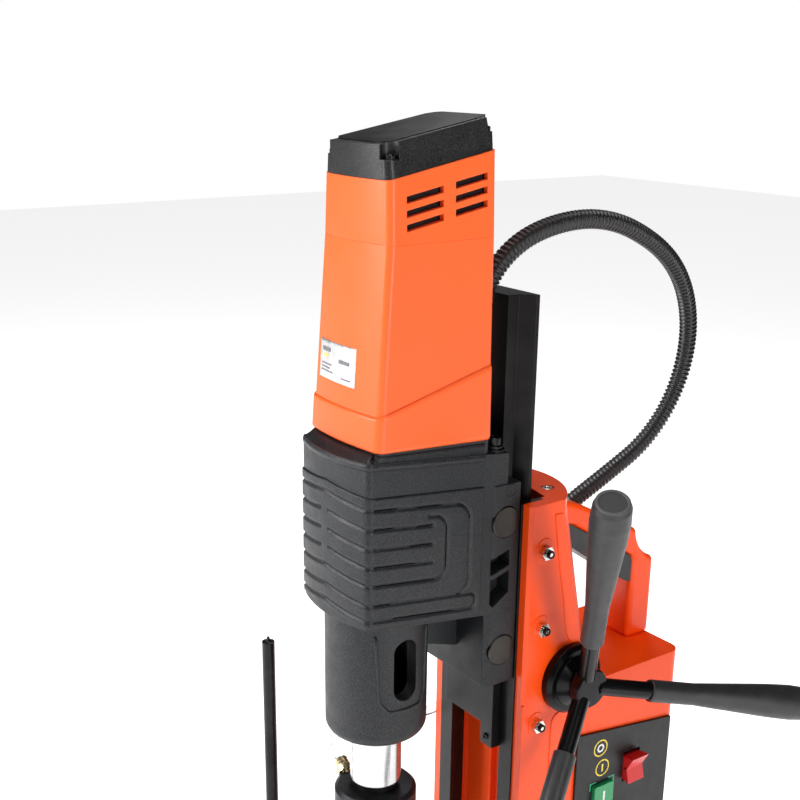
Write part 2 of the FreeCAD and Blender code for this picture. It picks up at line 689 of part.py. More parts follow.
def gear(name, teeth, module, width, bore=None):
    """A spur gear about its own Z: a blank, one tooth gap, and a polar pattern.

    A tooth points along +X.
    """
    body = new_body(name)
    tip = module * teeth / 2 + S.TipHeight * module
    rings = [(0, 0, tip)] + ([(0, 0, bore)] if bore else [])
    run(body, "XY", mm(0), width, *rings)
    half_gap = 180 / number(teeth)
    root = module * teeth / 2 - 1.25 * module
    c = math.cos(math.radians(half_gap))
    k = math.sin(math.radians(half_gap))
    wide = 1.35 * module
    slim = 0.72 * module
    reach = tip + 0.65 * module

    def at(radius, side):
        return (radius * c - side * k, radius * k + side * c)

    gap = run(body, "XY", mm(0), width,
              [at(root, -slim), at(reach, -wide), at(reach, wide), at(root, slim)], cut=True)
    pattern = body.newObject("PartDesign::PolarPattern", name + "Teeth")
    pattern.Originals = [gap]
    pattern.Axis = (gap.Profile[0], ["N_Axis"])
    pattern.Angle = 360
    bind(pattern, "Occurrences", teeth)
    body.Tip = pattern
    return body


# -------------------------------------------------------------------- slide

def make_slide():
    low = nose_z - S.SlideFoot
    high = nose_z + S.SlideTop
    body = new_body("SlideBar")
    neck = S.NeckHalf
    tail = S.TailHalf
    run(body, "XY", low, high, [
        (-neck, -S.SlideFront), (neck, -S.SlideFront), (neck, -S.FlankFront), (tail, -S.FlankBack),
        (tail, slide_back), (-tail, slide_back), (-tail, -S.FlankBack), (-neck, -S.FlankFront),
    ])
    run(body, "XY", tab_low, low, rectangle(neck - tab_width, neck, -S.SlideFront, -S.FlankFront))
    keep(body, "slide_bar")


def make_rack():
    body = new_body("FeedRack")
    low = nose_z - S.RackLow
    high = nose_z + S.RackHigh
    run(body, "XY", low, high, rectangle(-S.RackHalf, S.RackHalf, slide_back, rack_tips))
    pitch = math.pi * S.RackModule
    below = int((capstan_z.value - low.value) / pitch.value - 0.5)
    first = capstan_z - below * pitch
    root = rack_tips - 2.25 * S.RackModule
    slim = 0.52 * S.RackModule
    wide = 1.38 * S.RackModule
    gap = run(body, "YZ", -S.RackHalf - 1, S.RackHalf + 1, [
        (root, first - slim), (rack_tips + 0.5, first - wide), (rack_tips + 0.5, first + wide),
        (root, first + slim)], cut=True)
    pattern = body.newObject("PartDesign::LinearPattern", "RackTeeth")
    pattern.Originals = [gap]
    pattern.Direction = (gap.Profile[0], ["V_Axis"])
    count = int((high.value - first.value) / pitch.value + 0.5)
    pattern.Occurrences = count
    bind(pattern, "Length", pitch * (count - 1))
    body.Tip = pattern
    keep(body, "feed_rack")


# ------------------------------------------------------------------ gearbox

def plan(half, front, back, bulge):
    """Plan outline about the spindle axis with a bowed front."""
    sag_radius = (half * half + bulge * bulge) / (2 * bulge)
    return [(-half, front), Arc(half, front, sag_radius, -1), (half, back), (-half, back)]


def make_gearbox():
    body = new_body("GearboxHousing", 0, spindle_y, nose_z)
    half = S.GearboxHalf
    front = -S.GearboxFront
    back = S.GearboxBack
    high = S.GearboxFrontTop + 20
    run(body, "XY", S.GearboxBackLow, high, plan(half, front, back, S.GearboxBulge))
    far = front - S.GearboxBulge - 10
    run(body, "YZ", -half - 5, half + 5, [
        (far, S.GearboxBackLow - 5), (back, S.GearboxBackLow - 5), (back, S.GearboxBackLow),
        (front, S.GearboxFrontLow), (far, S.GearboxFrontLow)], cut=True)
    run(body, "YZ", -half - 5, half + 5, [
        (far, S.GearboxFrontTop), (front, S.GearboxFrontTop), (back, S.GearboxBackTop),
        (back, high + 5), (far, high + 5)], cut=True)
    soften(body, mm(5), lambda e: upright(e) and e.Vertexes[0].Y < 0)
    run(body, "XY", S.GearboxBackTop - 6, high, motor_plan(S.SkirtHalf - 0.6, S.SkirtFront - 0.6))
    run(body, "YZ", -half - 5, half + 5, [
        (far, S.SkirtFrontLow), (-S.SkirtFront, S.SkirtFrontLow), (S.MotorBack, S.SkirtBackLow),
        (S.MotorBack + 1, high + 5), (far, high + 5)], cut=True)
    run(body, "XY", mm(0), S.GearboxFrontLow + 2, (0, 0, S.NoseRadius))
    soften(body, S.NoseEdge, lambda e: abs(e.BoundBox.ZMax) < 0.01 and e.Length > 100)
    bracket = S.BracketHalf
    toe = S.BracketFront
    run(body, "XY", S.BracketLow, S.BracketHigh, [
        (-bracket, toe + S.BracketBevel), (-bracket + S.BracketBevel, toe),
        (bracket - S.BracketBevel, toe), (bracket, toe + S.BracketBevel),
        (bracket, S.BracketBack), (-bracket, S.BracketBack)])
    run(body, "YZ", mm(-7), mm(7), [
        (S.NoseRadius - 4, 62), (toe + 2, 50), (toe + 2, S.GearboxBackLow + 2),
        (S.NoseRadius - 4, S.GearboxBackLow + 4)])
    seat = S.SpindleReach - S.SlideFront
    run(body, "XY", S.BracketLow - 1, S.BracketHigh + 1,
        rectangle(-S.NeckHalf - S.FitGap, S.NeckHalf + S.FitGap, seat, S.BracketBack + 1), cut=True)
    wall = S.GearboxWall
    run(body, "XY", S.GearboxFrontLow + 5, high,
        plan(half - wall, front + wall, S.GearRoomBack, S.GearboxBulge), cut=True)
    bore = S.SpindleRadius + S.RunningGap
    run(body, "XY", mm(-1), S.GearboxFrontLow + 6, (0, 0, bore), cut=True)
    run(body, "XY", mm(16), S.GearboxFrontLow - 8, (0, 0, S.SpindleRadius + 8), cut=True)
    slot = S.DriftSlotWidth / 2
    run(body, "YZ", -S.NoseRadius - 1, S.NoseRadius + 1, [
        (-slot, S.DriftSlotLow + slot), Arc(slot, S.DriftSlotLow + slot, slot + 0.01, -1),
        (slot, S.DriftSlotHigh - slot), Arc(-slot, S.DriftSlotHigh - slot, slot + 0.01, -1)], cut=True)
    depth = S.WindowDepth
    upper = [(73.5, 121.5), (91, 127), (90.5, 140), (73, 134.4)]
    lower = [(73.5, 118), (73.5, 98), (76, 95.5), (91, 105), (91, 123)]
    for low, top in ((bracket - depth, bracket + 1), (-bracket - 1, depth - bracket)):
        for window in (upper, lower):
            run(body, "YZ", low, top, window, cut=True)
    for low, top in ((bracket - S.CapDepth, bracket + 1), (-bracket - 1, S.CapDepth - bracket)):
        for z in cap_heights:
            run(body, "YZ", low, top, (S.CapReach, z, S.CapRadius + 0.1), cut=True)
    keep(body, "gearbox_housing")


cap_heights = (mm(162.4), mm(57.7))


def upright(edge):
    return along(edge, "z")


def make_cheek_caps():
    count = 0
    for side in (1, -1):
        for z in cap_heights:
            count += 1
            aim = FreeCAD.Rotation(Vector(0, 0, 1), Vector(side, 0, 0))
            body = new_body("CheekCap%d" % count, side * (S.BracketHalf - S.CapDepth),
                            spindle_y + S.CapReach, nose_z + z, aim)
            r = S.CapRadius
            turn(body, [(0, 0), (r, 0), (r, S.CapDepth), (r - 0.8, S.CapDepth + 0.8), (0, S.CapDepth + 0.8)])
            keep(body, "cheek_cap_%d" % count)


# ------------------------------------------------- spindle, gears, coolant

def make_spindle():
    shaft_top = S.SpindleGearZ + S.GearWidth + 12
    body = new_body("Spindle", 0, spindle_y, nose_z)
    inner = S.SpindleShaftRadius
    neck = S.ArborRadius
    turn(body, [(0, -S.SpindleDrop), (S.SpindleRadius - 1, -S.SpindleDrop),
                (S.SpindleRadius, 1 - S.SpindleDrop), (S.SpindleRadius, 22), (inner, 24),
                (inner, shaft_top), (0, shaft_top)])
    keep(body, "spindle")
    ring_z = -S.SpindleDrop - 6
    arbor_top = -S.SpindleDrop
    arbor_low = arbor_top - S.ArborLength
    arbor = new_body("CutterArbor", 0, spindle_y, nose_z)
    turn(arbor, [(S.CutterBore, arbor_low), (neck + 5, arbor_low), (neck + 6, arbor_low + 1),
                 (neck + 6, arbor_low + 40), (neck, arbor_low + 44), (neck, arbor_top), (0, arbor_top),
                 (0, arbor_low + S.CutterDepth), (S.CutterBore, arbor_low + S.CutterDepth)])
    run(arbor, "YZ", mm(0), neck + 7, (0, arbor_low + 18, mm(4)), cut=True)
    keep(arbor, "cutter_arbor")
    grub = new_body("CutterScrew", S.CutterBore + 1, spindle_y, nose_z + arbor_low + 18, TURNED["X"])
    turn(grub, [(0, 0), (3.98, 0), (3.98, 10), (2, 10), (2, 6), (0, 6)])
    keep(grub, "cutter_screw")
    collar_top = ring_z - S.FitGap
    collar = new_body("CoolantCollar", 0, spindle_y, nose_z)
    hole = neck + S.RunningGap
    turn(collar, [(hole, collar_top - S.CollarHeight), (S.CollarRadius - 2, collar_top - S.CollarHeight),
                  (S.CollarRadius, collar_top - S.CollarHeight + 2), (S.CollarRadius, collar_top - 3),
                  (S.CollarRadius - 3, collar_top), (hole, collar_top)])
    keep(collar, "coolant_collar")


lay_y = spindle_y + S.FinalModule * (S.SpindleTeeth + S.LayTeeth) / 2
motor_y = lay_y - S.FirstModule * (S.LayWheelTeeth + S.MotorTeeth) / 2


def make_gears():
    gear_z = nose_z + S.SpindleGearZ
    wheel = gear("SpindleGear", S.SpindleTeeth, S.FinalModule, S.GearWidth, S.SpindleShaftRadius + 0.02)
    place(wheel, 0, spindle_y, gear_z, FreeCAD.Rotation(Vector(0, 0, 1), 90))
    keep(wheel, "spindle_gear")
    bore = S.LayShaftRadius + 0.02
    half_tooth = 180 / number(S.LayTeeth)
    wheel_z = nose_z + S.LayWheelZ
    lay_wheel = gear("LayWheel", S.LayWheelTeeth, S.FirstModule, S.GearWidth, bore)
    place(lay_wheel, 0, lay_y, wheel_z, FreeCAD.Rotation(Vector(0, 0, 1), -90))
    keep(lay_wheel, "lay_wheel")
    plate_z = nose_z + S.BearingPlateZ
    shaft_low = nose_z + S.GearboxFrontLow + 5.3
    shaft = gear("LayShaft", S.LayTeeth, S.FinalModule, S.GearWidth)
    turn(shaft, rectangle(0, S.LayShaftRadius, shaft_low - gear_z, plate_z + 6 - gear_z))
    place(shaft, 0, lay_y, gear_z, FreeCAD.Rotation(Vector(0, 0, 1), -90 + half_tooth))
    keep(shaft, "lay_shaft")
    plate = new_body("BearingPlate", 0, spindle_y, nose_z)
    wall = S.GearboxWall
    run(plate, "XY", S.BearingPlateZ, S.BearingPlateZ + S.BearingPlateThick,
        plan(S.GearboxHalf - wall, -S.GearboxFront + wall, S.GearRoomBack, S.GearboxBulge),
        (0, motor_y - spindle_y, S.ArmatureShaft + S.RunningGap),
        (0, lay_y - spindle_y, S.LayShaftRadius + S.RunningGap))
    keep(plate, "bearing_plate")


# -------------------------------------------------------------------- motor

def rounded_plan(half, front, back, corner):
    """Plan outline with rounded corners and a bowed front."""
    flat = half - corner
    bow = S.MotorBulge
    bow_radius = (flat * flat + bow * bow) / (2 * bow)
    return [
        Arc(flat, front, bow_radius, -1), Arc(half, front + corner, corner, -1),
        (half, back - corner), Arc(flat, back, corner, -1),
        (-flat, back), Arc(-half, back - corner, corner, -1),
        (-half, front + corner), Arc(-flat, front, corner, -1),
    ]


def motor_plan(half, front):
    return rounded_plan(half, -front, S.MotorBack, S.MotorCorner)


def loft_between(body, low, low_plan, high, high_plan):
    lower = sketch_on(body, "XY", low)
    draw_loop(lower, low_plan)
    upper = sketch_on(body, "XY", high)
    draw_loop(upper, high_plan)
    loft = body.newObject("PartDesign::AdditiveLoft", body.Name + "Loft")
    loft.Profile = lower
    loft.Sections = [upper]
    loft.Ruled = True
    return loft


def make_motor():
    far = -S.SkirtFront - S.MotorBulge - 20
    wide = S.SkirtHalf + 10
    wall = S.MotorWall
    lower = new_body("MotorHousing", 0, spindle_y, nose_z)
    loft_between(lower, S.SkirtBackLow, motor_plan(S.SkirtHalf, S.SkirtFront),
                 S.SeamZ, motor_plan(S.SeamHalf, S.SeamFront))
    run(lower, "XY", S.SkirtBackLow - 1, S.SeamZ + 1, inner_plan(S.SeamHalf, S.SeamFront, wall), cut=True)
    run(lower, "YZ", -wide, wide, [(far, S.SkirtBackLow - 5), (S.MotorBack, S.SkirtBackLow - 5),
                                   (S.MotorBack, S.SkirtBackLow), (-S.SkirtFront, S.SkirtFrontLow),
                                   (far, S.SkirtFrontLow)], cut=True)
    keep(lower, "motor_housing")
    upper = new_body("MotorCrown", 0, spindle_y, nose_z)
    loft_between(upper, S.SeamZ, motor_plan(S.SeamHalf, S.SeamFront),
                 S.CrownBackZ, motor_plan(S.CrownHalf, S.CrownFront))
    run(upper, "XY", S.SeamZ - 1, S.CrownBackZ + 1, inner_plan(S.CrownHalf, S.CrownFront, wall), cut=True)
    run(upper, "YZ", -wide, wide, [(far, S.CrownFrontZ), (-S.CrownFront, S.CrownFrontZ),
                                   (S.MotorBack, S.CrownBackZ), (S.MotorBack, S.CrownBackZ + 5),
                                   (far, S.CrownBackZ + 5)], cut=True)
    slope = (S.CrownBackZ - S.CrownFrontZ) / (S.MotorBack + S.CrownFront)
    for column_y, length in ((mm(-5), mm(30)), (mm(35), mm(27))):
        for level in range(3):
            z = S.CrownFrontZ - 13 + (column_y + S.CrownFront) * slope - level * 9
            rise = length * slope
            run(upper, "YZ", -wide, wide, [(column_y, z - 4.6), (column_y + length, z - 4.6 + rise),
                                           (column_y + length, z + rise), (column_y, z)], cut=True)
    keep(upper, "motor_crown")
    cap = new_body("EndCap", 0, spindle_y, nose_z)
    high = S.CrownBackZ + S.CapRise + 1
    loft_between(cap, S.CrownFrontZ - 1, motor_plan(S.CrownHalf, S.CrownFront),
                 high, motor_plan(S.CapTopHalf, S.CrownFront + 1))
    run(cap, "YZ", -wide, wide, [(far, S.CrownFrontZ - 5), (S.MotorBack + 5, S.CrownFrontZ - 5),
                                 (S.MotorBack + 5, S.CrownBackZ + 5 * slope), (S.MotorBack, S.CrownBackZ),
                                 (-S.CrownFront, S.CrownFrontZ), (far, S.CrownFrontZ)], cut=True)
    front_top = S.CrownFrontZ + S.CapRise
    back_top = S.CrownBackZ + S.CapRise
    run(cap, "YZ", -wide, wide, [(far, front_top), (-S.CrownFront, front_top), (S.MotorBack, back_top),
                                 (S.MotorBack + 5, back_top), (S.MotorBack + 5, high + 5),
                                 (far, high + 5)], cut=True)
    for notch_x, notch_y in ((S.CapTopHalf + 1, 3.5 - S.CrownFront), (S.CapTopHalf - 5, S.MotorBack - 3.8)):
        floor = S.CrownFrontZ + S.CapRise - S.CapNotchDepth + (notch_y + S.CrownFront) * slope
        for side in (-1, 1):
            run(cap, "XY", floor, high + 6, (side * notch_x, notch_y, S.CapNotch), cut=True)
    keep(cap, "end_cap")
    plate_half = S.SkirtHalf * 0.55
    plate_thin = mm(0.6)
    plate_rise = mm(13.5)
    plate_z = mm(288)
    plate = box("RatingPlate", (-plate_half, plate_half), (-plate_thin, plate_thin),
                (-plate_rise, plate_rise))
    lean = (S.SkirtFront - S.SeamFront) / (S.SeamZ - S.SkirtBackLow)
    reach = S.SeamFront + (S.SeamZ - plate_z) * lean
    plate_y = spindle_y - reach - S.MotorBulge - plate_thin - 0.2
    turned = FreeCAD.Rotation(Vector(1, 0, 0), -math.degrees(math.atan(lean.value)))
    hold = FreeCAD.Placement(Vector(-S.PlateShift.value, plate_y.value, nose_z.value + plate_z.value), turned)
    corner = hold.multVec(Vector(-plate_half.value, -plate_thin.value, -plate_rise.value))
    for axis in "xyz":
        plate.setExpression("Placement.Base." + axis, None)
    plate.Placement = FreeCAD.Placement(corner, hold.Rotation)
    keep(plate, "rating_plate")
    stator = new_body("Stator", 0, motor_y, nose_z)
    turn(stator, [(S.ArmatureRadius + 0.8, 262), (S.StatorRadius, 262), (S.StatorRadius, 330),
                  (S.ArmatureRadius + 0.8, 330)])
    keep(stator, "stator")
    core = gear("Armature", S.MotorTeeth, S.FirstModule, S.GearWidth)
    low = S.LayWheelZ
    thin = S.ArmatureShaft
    profile = [(0, S.GearWidth - 1), (thin, S.GearWidth - 1), (thin, 236 - low),
               (30, 236 - low), (30, 239 - low), (10, 242 - low), (10, 252 - low), (thin, 252 - low),
               (thin, 262 - low),
               (S.ArmatureRadius, 264 - low), (S.ArmatureRadius, 328 - low), (thin, 330 - low),
               (thin, 350 - low), (11, 350 - low), (11, 368 - low), (thin, 368 - low),
               (thin, 392 - low), (0, 392 - low)]
    turn(core, profile)
    half_tooth = 180 / number(S.MotorTeeth)
    place(core, 0, motor_y, nose_z + low, FreeCAD.Rotation(Vector(0, 0, 1), 90 + half_tooth))
    keep(core, "armature")


def inner_plan(half, front, wall):
    return rounded_plan(half - wall, wall - front, S.MotorBack - wall, S.MotorCorner - wall / 2)


# ------------------------------------------------------- cables and coolant

def tube(name, route, radius, bore=0):
    """A cord's solid: straight runs joined by tangent arcs along its route."""
    points = [Vector(*p) for p in route]
    edges = []
    here = points[0]
    length = 0
    for i in range(1, len(points) - 1):
        before = points[i] - points[i - 1]
        after = points[i + 1] - points[i]
        bend = before.getAngle(after)
        short = min(before.Length, after.Length)
        arc_radius = 0.45 * short / math.tan(bend / 2)
        leave = points[i] - before.normalize() * 0.45 * short
        join = points[i] + after.normalize() * 0.45 * short
        middle = (leave + join) / 2 - points[i]
        centre_reach = arc_radius / math.cos(bend / 2)
        middle = points[i] + middle.normalize() * (centre_reach - arc_radius)
        edges.append(Part.LineSegment(here, leave).toShape())
        edges.append(Part.Arc(leave, middle, join).toShape())
        length += (leave - here).Length + arc_radius * bend
        here = join
        print("  %s radius %.0f mm, turn %.0f deg" % (name, arc_radius, math.degrees(bend)))
    edges.append(Part.LineSegment(here, points[-1]).toShape())
    length += (points[-1] - here).Length
    wire = Part.Wire(edges)
    ring = Part.Wire([Part.Circle(points[0], points[1] - points[0], number(radius)).toShape()])
    solid = wire.makePipeShell([ring], True, True)
    feature = doc.addObject("Part::Feature", name)
    feature.Shape = solid
    area = math.pi * number(radius) ** 2
    print("  %s length %.0f mm, volume error %.4f" % (name, length, solid.Volume / (area * length) - 1))
    return feature


CONDUIT_ROUTE = [
    (14, -65, 533), (13.4, -65.2, 560), (14.2, -64.9, 584), (13.8, -65.1, 603), (14, -65, 618),
    (14, -62, 630.1), (14, -56.1, 641.1), (14, -47.6, 650.9), (14, -35.8, 660), (13.8, -20.7, 667.3),
    (13.5, -0.5, 672.8), (12.8, 24.3, 675.7), (11.6, 50.3, 674.6), (10, 76.8, 668.8), (8, 102, 658.6),
    (5.5, 126, 646.2), (2.5, 147.7, 630.1), (-1.5, 165.9, 610.1), (-6, 179.3, 586.6), (-10.5, 186.9, 560.7),
    (-15, 187.8, 533.7), (-19, 181.6, 507.4), (-22.5, 168.4, 483.8), (-25, 149, 465), (-27, 126.5, 452.6),
    (-28.5, 104, 441), (-29.5, 82, 430.5), (-30.5, 61, 419), (-31, 42, 408),
]
HOSE_ROUTE = [
    (-38, -153, 252.5), (-52, -151, 260), (-61, -140, 265), (-65, -124, 267), (-63, -104, 265),
    (-59, -82, 260), (-59, -60, 254), (-63, -38, 250), (-69, -18, 249),
]


def make_conduit():
    conduit = tube("MotorConduit", CONDUIT_ROUTE, S.ConduitRadius)
    keep(conduit, "motor_conduit")
    first, second = Vector(*CONDUIT_ROUTE[0]), Vector(*CONDUIT_ROUTE[1])
    last, prior = Vector(*CONDUIT_ROUTE[-1]), Vector(*CONDUIT_ROUTE[-2])
    for label, at, toward in (("motor_gland", first, second), ("stand_gland", last, prior)):
        pose = FreeCAD.Rotation(Vector(0, 0, 1), toward - at)
        body = new_body(label.title().replace("_", ""), at.x, at.y, at.z, pose)
        deep = 17 if label == "motor_gland" else 28
        bead = S.ConduitRadius + 1.4
        turn(body, [(0, -deep), (S.ConduitRadius, -deep), (S.ConduitRadius, -9), (bead, -8),
                    (bead, -1), (S.ConduitRadius + 0.6, 0), (0, 0)])
        keep(body, label)
    hose = tube("CoolantHose", HOSE_ROUTE, S.HoseRadius)
    keep(hose, "coolant_hose")


def make_coolant():
    first, second = Vector(*HOSE_ROUTE[0]), Vector(*HOSE_ROUTE[1])
    last, prior = Vector(*HOSE_ROUTE[-1]), Vector(*HOSE_ROUTE[-2])
    aim = FreeCAD.Rotation(Vector(0, 0, 1), second - first)
    nozzle = new_body("HoseFitting", first.x, first.y, first.z, aim)
    outer = S.HoseRadius + 1
    turn(nozzle, [(0, -18), (3.5, -18), (3.5, -12), (outer + 1.4, -12), (outer + 1.4, -7), (outer, -6),
                  (outer + 0.6, -4), (outer, -3), (outer + 0.6, -1), (outer, 0), (0, 0)])
    keep(nozzle, "hose_fitting")
    tap = new_body("HoseTap", last.x, last.y, last.z, FreeCAD.Rotation(Vector(0, 0, 1), last - prior))
    turn(tap, [(0, 0), (outer, 0), (outer, 8), (8, 10), (8, 26), (5, 27), (5, 34), (0, 34)])
    arm = box("TapArm", (-stand_half - 14, -stand_half), (last.y + 11, last.y + 23), (last.z - 4, last.z + 4))
    joined = doc.addObject("Part::Fuse", "TapBody")
    joined.Base = tap
    joined.Tool = arm
    keep(joined, "hose_tap")
    stem = new_body("TapLever", last.x - 2, last.y + 17.5, last.z + 7.4)
    turn(stem, [(0, 0), (3, 0), (3, 5), (0, 5)])
    run(stem, "XY", mm(5), mm(8), rectangle(-4, 4, -4, 24))
    keep(stem, "tap_lever")


guard_x = mm(-82)
guard_y = spindle_y - 47
post_radius = mm(5)


def make_guard():
    bracket = new_body("GuardBracket")
    edge = -S.MagnetWidth / 2
    tip_x = guard_x - 8
    run(bracket, "XY", mm(36), mm(46), [
        (edge, -S.MagnetLength / 4), (edge - 12, -S.MagnetLength / 4), (edge - 12, -S.MagnetLength / 2 + 10),
        (tip_x, guard_y + 8), (tip_x, guard_y - 8), (guard_x + 8, guard_y - 8), (guard_x + 8, guard_y + 8),
        (edge, -S.MagnetLength / 2 + 5)], )
    run(bracket, "XY", mm(35), mm(47), (guard_x, guard_y, post_radius + 0.02), cut=True)
    keep(bracket, "guard_bracket")
    post = new_body("GuardPost", guard_x, guard_y, 30)
    top = S.NoseHeight + 54 - 30
    turn(post, [(0, 0), (post_radius, 0), (post_radius, top - 4), Arc(post_radius - 4, top, mm(4)), (0, top)])
    keep(post, "guard_post")
    guard = new_body("ChipGuard")
    inner = mm(60)
    outer = mm(63)
    spread = math.radians(62)
    low, high = mm(70), mm(186)

    def rim(radius, side):
        return (side * radius * math.sin(spread), spindle_y - radius * math.cos(spread))

    left_in, left_out = rim(inner, -1), rim(outer, -1)
    right_in, right_out = rim(inner, 1), rim(outer, 1)
    run(guard, "XY", low, high, [left_out, Arc(right_out[0], right_out[1], outer, -1),
                                 right_in, Arc(left_in[0], left_in[1], inner, 1)])
    run(guard, "XY", mm(100), mm(150), (guard_x, guard_y, post_radius + 5))
    run(guard, "XY", mm(110), mm(140), [
        (guard_x, guard_y - 4), (left_out[0] + 1, left_out[1] - 3), (left_out[0] + 1, left_out[1] + 1),
        (guard_x, guard_y + 4)])
    run(guard, "XY", mm(99), mm(151), (guard_x, guard_y, post_radius + S.RunningGap), cut=True)
    keep(guard, "chip_guard")


for make in (make_magnet, make_stand, make_ways, make_gib_screws, make_housing, make_panel,
             make_controls, make_handle, make_capstan, make_slide, make_rack, make_gearbox,
             make_cheek_caps, make_spindle, make_gears, make_motor, make_conduit, make_coolant,
             make_guard):
    make()
doc.recompute()


def check_and_write():
    for thing in doc.Objects:
        if "Invalid" in thing.State or "Error" in thing.State:
            raise RuntimeError("failed: %s %s" % (thing.Label, thing.State))
    for node in nodes:
        shape = node.Shape
        if shape.isNull() or not shape.isValid() or not shape.Solids:
            raise RuntimeError("bad solid: " + node.Label)
    os.makedirs("parts", exist_ok=True)
    for node in nodes:
        node.Shape.exportStep("parts/%s.step" % node.Label)
        print("%-20s solids %d volume %.0f" % (node.Label, len(node.Shape.Solids), node.Shape.Volume))
    print("nodes", len(nodes))


check_and_write()
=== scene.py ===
"""Looks of the magnetic-base core drill rig, built around its CAD frame.

Metres, in the part's own frame: +Z up, -Y front, +X capstan side. Places that go through mm(), and the
profiles, outlines and heights of the fitted pieces, are in millimetres.
"""
import math

import bmesh
import bpy
from mathutils import Euler, Matrix, Vector
from mathutils.bvhtree import BVHTree


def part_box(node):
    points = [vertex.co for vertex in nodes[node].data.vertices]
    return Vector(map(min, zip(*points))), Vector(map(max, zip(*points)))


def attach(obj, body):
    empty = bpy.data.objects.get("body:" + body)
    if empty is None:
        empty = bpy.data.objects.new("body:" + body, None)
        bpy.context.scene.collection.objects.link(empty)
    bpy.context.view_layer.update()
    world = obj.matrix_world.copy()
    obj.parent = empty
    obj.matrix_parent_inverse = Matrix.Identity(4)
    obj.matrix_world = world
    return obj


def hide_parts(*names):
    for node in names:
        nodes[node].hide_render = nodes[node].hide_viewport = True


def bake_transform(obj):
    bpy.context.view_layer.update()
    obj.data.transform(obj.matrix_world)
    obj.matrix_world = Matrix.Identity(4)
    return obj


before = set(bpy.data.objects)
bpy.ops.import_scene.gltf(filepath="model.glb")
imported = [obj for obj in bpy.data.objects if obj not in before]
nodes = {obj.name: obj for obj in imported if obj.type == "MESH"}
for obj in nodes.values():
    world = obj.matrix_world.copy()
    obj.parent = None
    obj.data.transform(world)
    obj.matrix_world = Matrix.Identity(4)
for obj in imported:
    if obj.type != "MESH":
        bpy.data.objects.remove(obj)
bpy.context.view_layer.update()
MM = 0.001


def mm(*point):
    return Vector(point) * MM


# ------------------------------------------------------------------ camera

camera = bpy.data.objects.new("camera", bpy.data.cameras.new("camera"))
bpy.context.scene.collection.objects.link(camera)
LOOKS_DOWN, HEADING, ROLL = 18.25, 54.31, 0.66
camera.location = (0.6856, -0.6173, 0.7861)
camera.rotation_euler = (Euler((math.radians(90 - LOOKS_DOWN), 0, math.radians(HEADING))).to_matrix()
                         @ Matrix.Rotation(math.radians(ROLL), 3, "Z")).to_euler()
camera.data.lens = 54.95
camera.data.sensor_width = 36
camera.data.shift_y = 0.08
bpy.context.scene.camera = camera


# --------------------------------------------------------------- materials

class Shader:
    """A Principled material with small helpers for procedural inputs."""

    def __init__(self, name, color, **values):
        self.material = bpy.data.materials.new(name)
        self.material.use_nodes = True
        self.tree = self.material.node_tree
        self.bsdf = self.tree.nodes["Principled BSDF"]
        self.bsdf.inputs["Base Color"].default_value = (*color, 1)
        for key, value in values.items():
            self.bsdf.inputs[key.replace("_", " ")].default_value = value
        self.color = color
        self.where = self.node("ShaderNodeTexCoord").outputs["Object"]

    def node(self, kind, **inputs):
        made = self.tree.nodes.new(kind)
        for key, value in inputs.items():
            self.set(made.inputs[key], value)
        return made

    def set(self, socket, value):
        if isinstance(value, bpy.types.NodeSocket):
            self.tree.links.new(value, socket)
        else:
            socket.default_value = value

    def noise(self, scale, detail=2.0, stretch=None):
        where = self.where
        if stretch:
            where = self.node("ShaderNodeMapping", Vector=where, Scale=stretch).outputs[0]
        made = self.node("ShaderNodeTexNoise", Vector=where, Scale=scale, Detail=detail)
        return made.outputs["Fac"]

    def ramp(self, factor, stops):
        made = self.node("ShaderNodeValToRGB", Fac=factor)
        elements = made.color_ramp.elements
        elements[0].position, elements[0].color = stops[0][0], (*stops[0][1], 1)
        elements[1].position, elements[1].color = stops[-1][0], (*stops[-1][1], 1)
        for position, color in stops[1:-1]:
            elements.new(position).color = (*color, 1)
        return made.outputs["Color"]

    def span(self, factor, low, high, start=0.3, end=0.7):
        """A factor from start to end, spread from low to high."""
        made = self.node("ShaderNodeMapRange", Value=factor)
        for key, value in (("From Min", start), ("From Max", end), ("To Min", low), ("To Max", high)):
            made.inputs[key].default_value = value
        return made.outputs[0]

    def vary(self, factor, low, high, start=0.3, end=0.7):
        """Base colour between two shades of the material's own colour."""
        shade = [tuple(min(1, c * k) for c in self.color) for k in (low, high)]
        self.set(self.bsdf.inputs["Base Color"], self.ramp(factor, [(start, shade[0]), (end, shade[1])]))

    def rough(self, factor, low, high):
        self.set(self.bsdf.inputs["Roughness"], self.span(factor, low, high))

    def bump(self, *layers, edge=0.0):
        """Stacks (height, strength, depth in metres) layers, over rounded edges."""
        normal = None
        if edge:
            normal = self.node("ShaderNodeBevel", Radius=edge).outputs[0]
        for height, strength, depth in layers:
            made = self.node("ShaderNodeBump", Height=height, Strength=strength, Distance=depth)
            if normal:
                self.set(made.inputs["Normal"], normal)
            normal = made.outputs[0]
        self.set(self.bsdf.inputs["Normal"], normal)
        return self.material


def moulding(name, color, roughness, gloss):
    s = Shader(name, color, Coat_Weight=gloss, Coat_Roughness=0.18, Specular_IOR_Level=0.32)
    s.vary(s.noise(7, 3), 0.94, 1.05)
    s.rough(s.noise(55, 4), roughness - 0.04, roughness + 0.06)
    return s.bump((s.noise(900, 2), 0.10, 0.0002), (s.noise(24, 2), 0.04, 0.002), edge=0.0011)


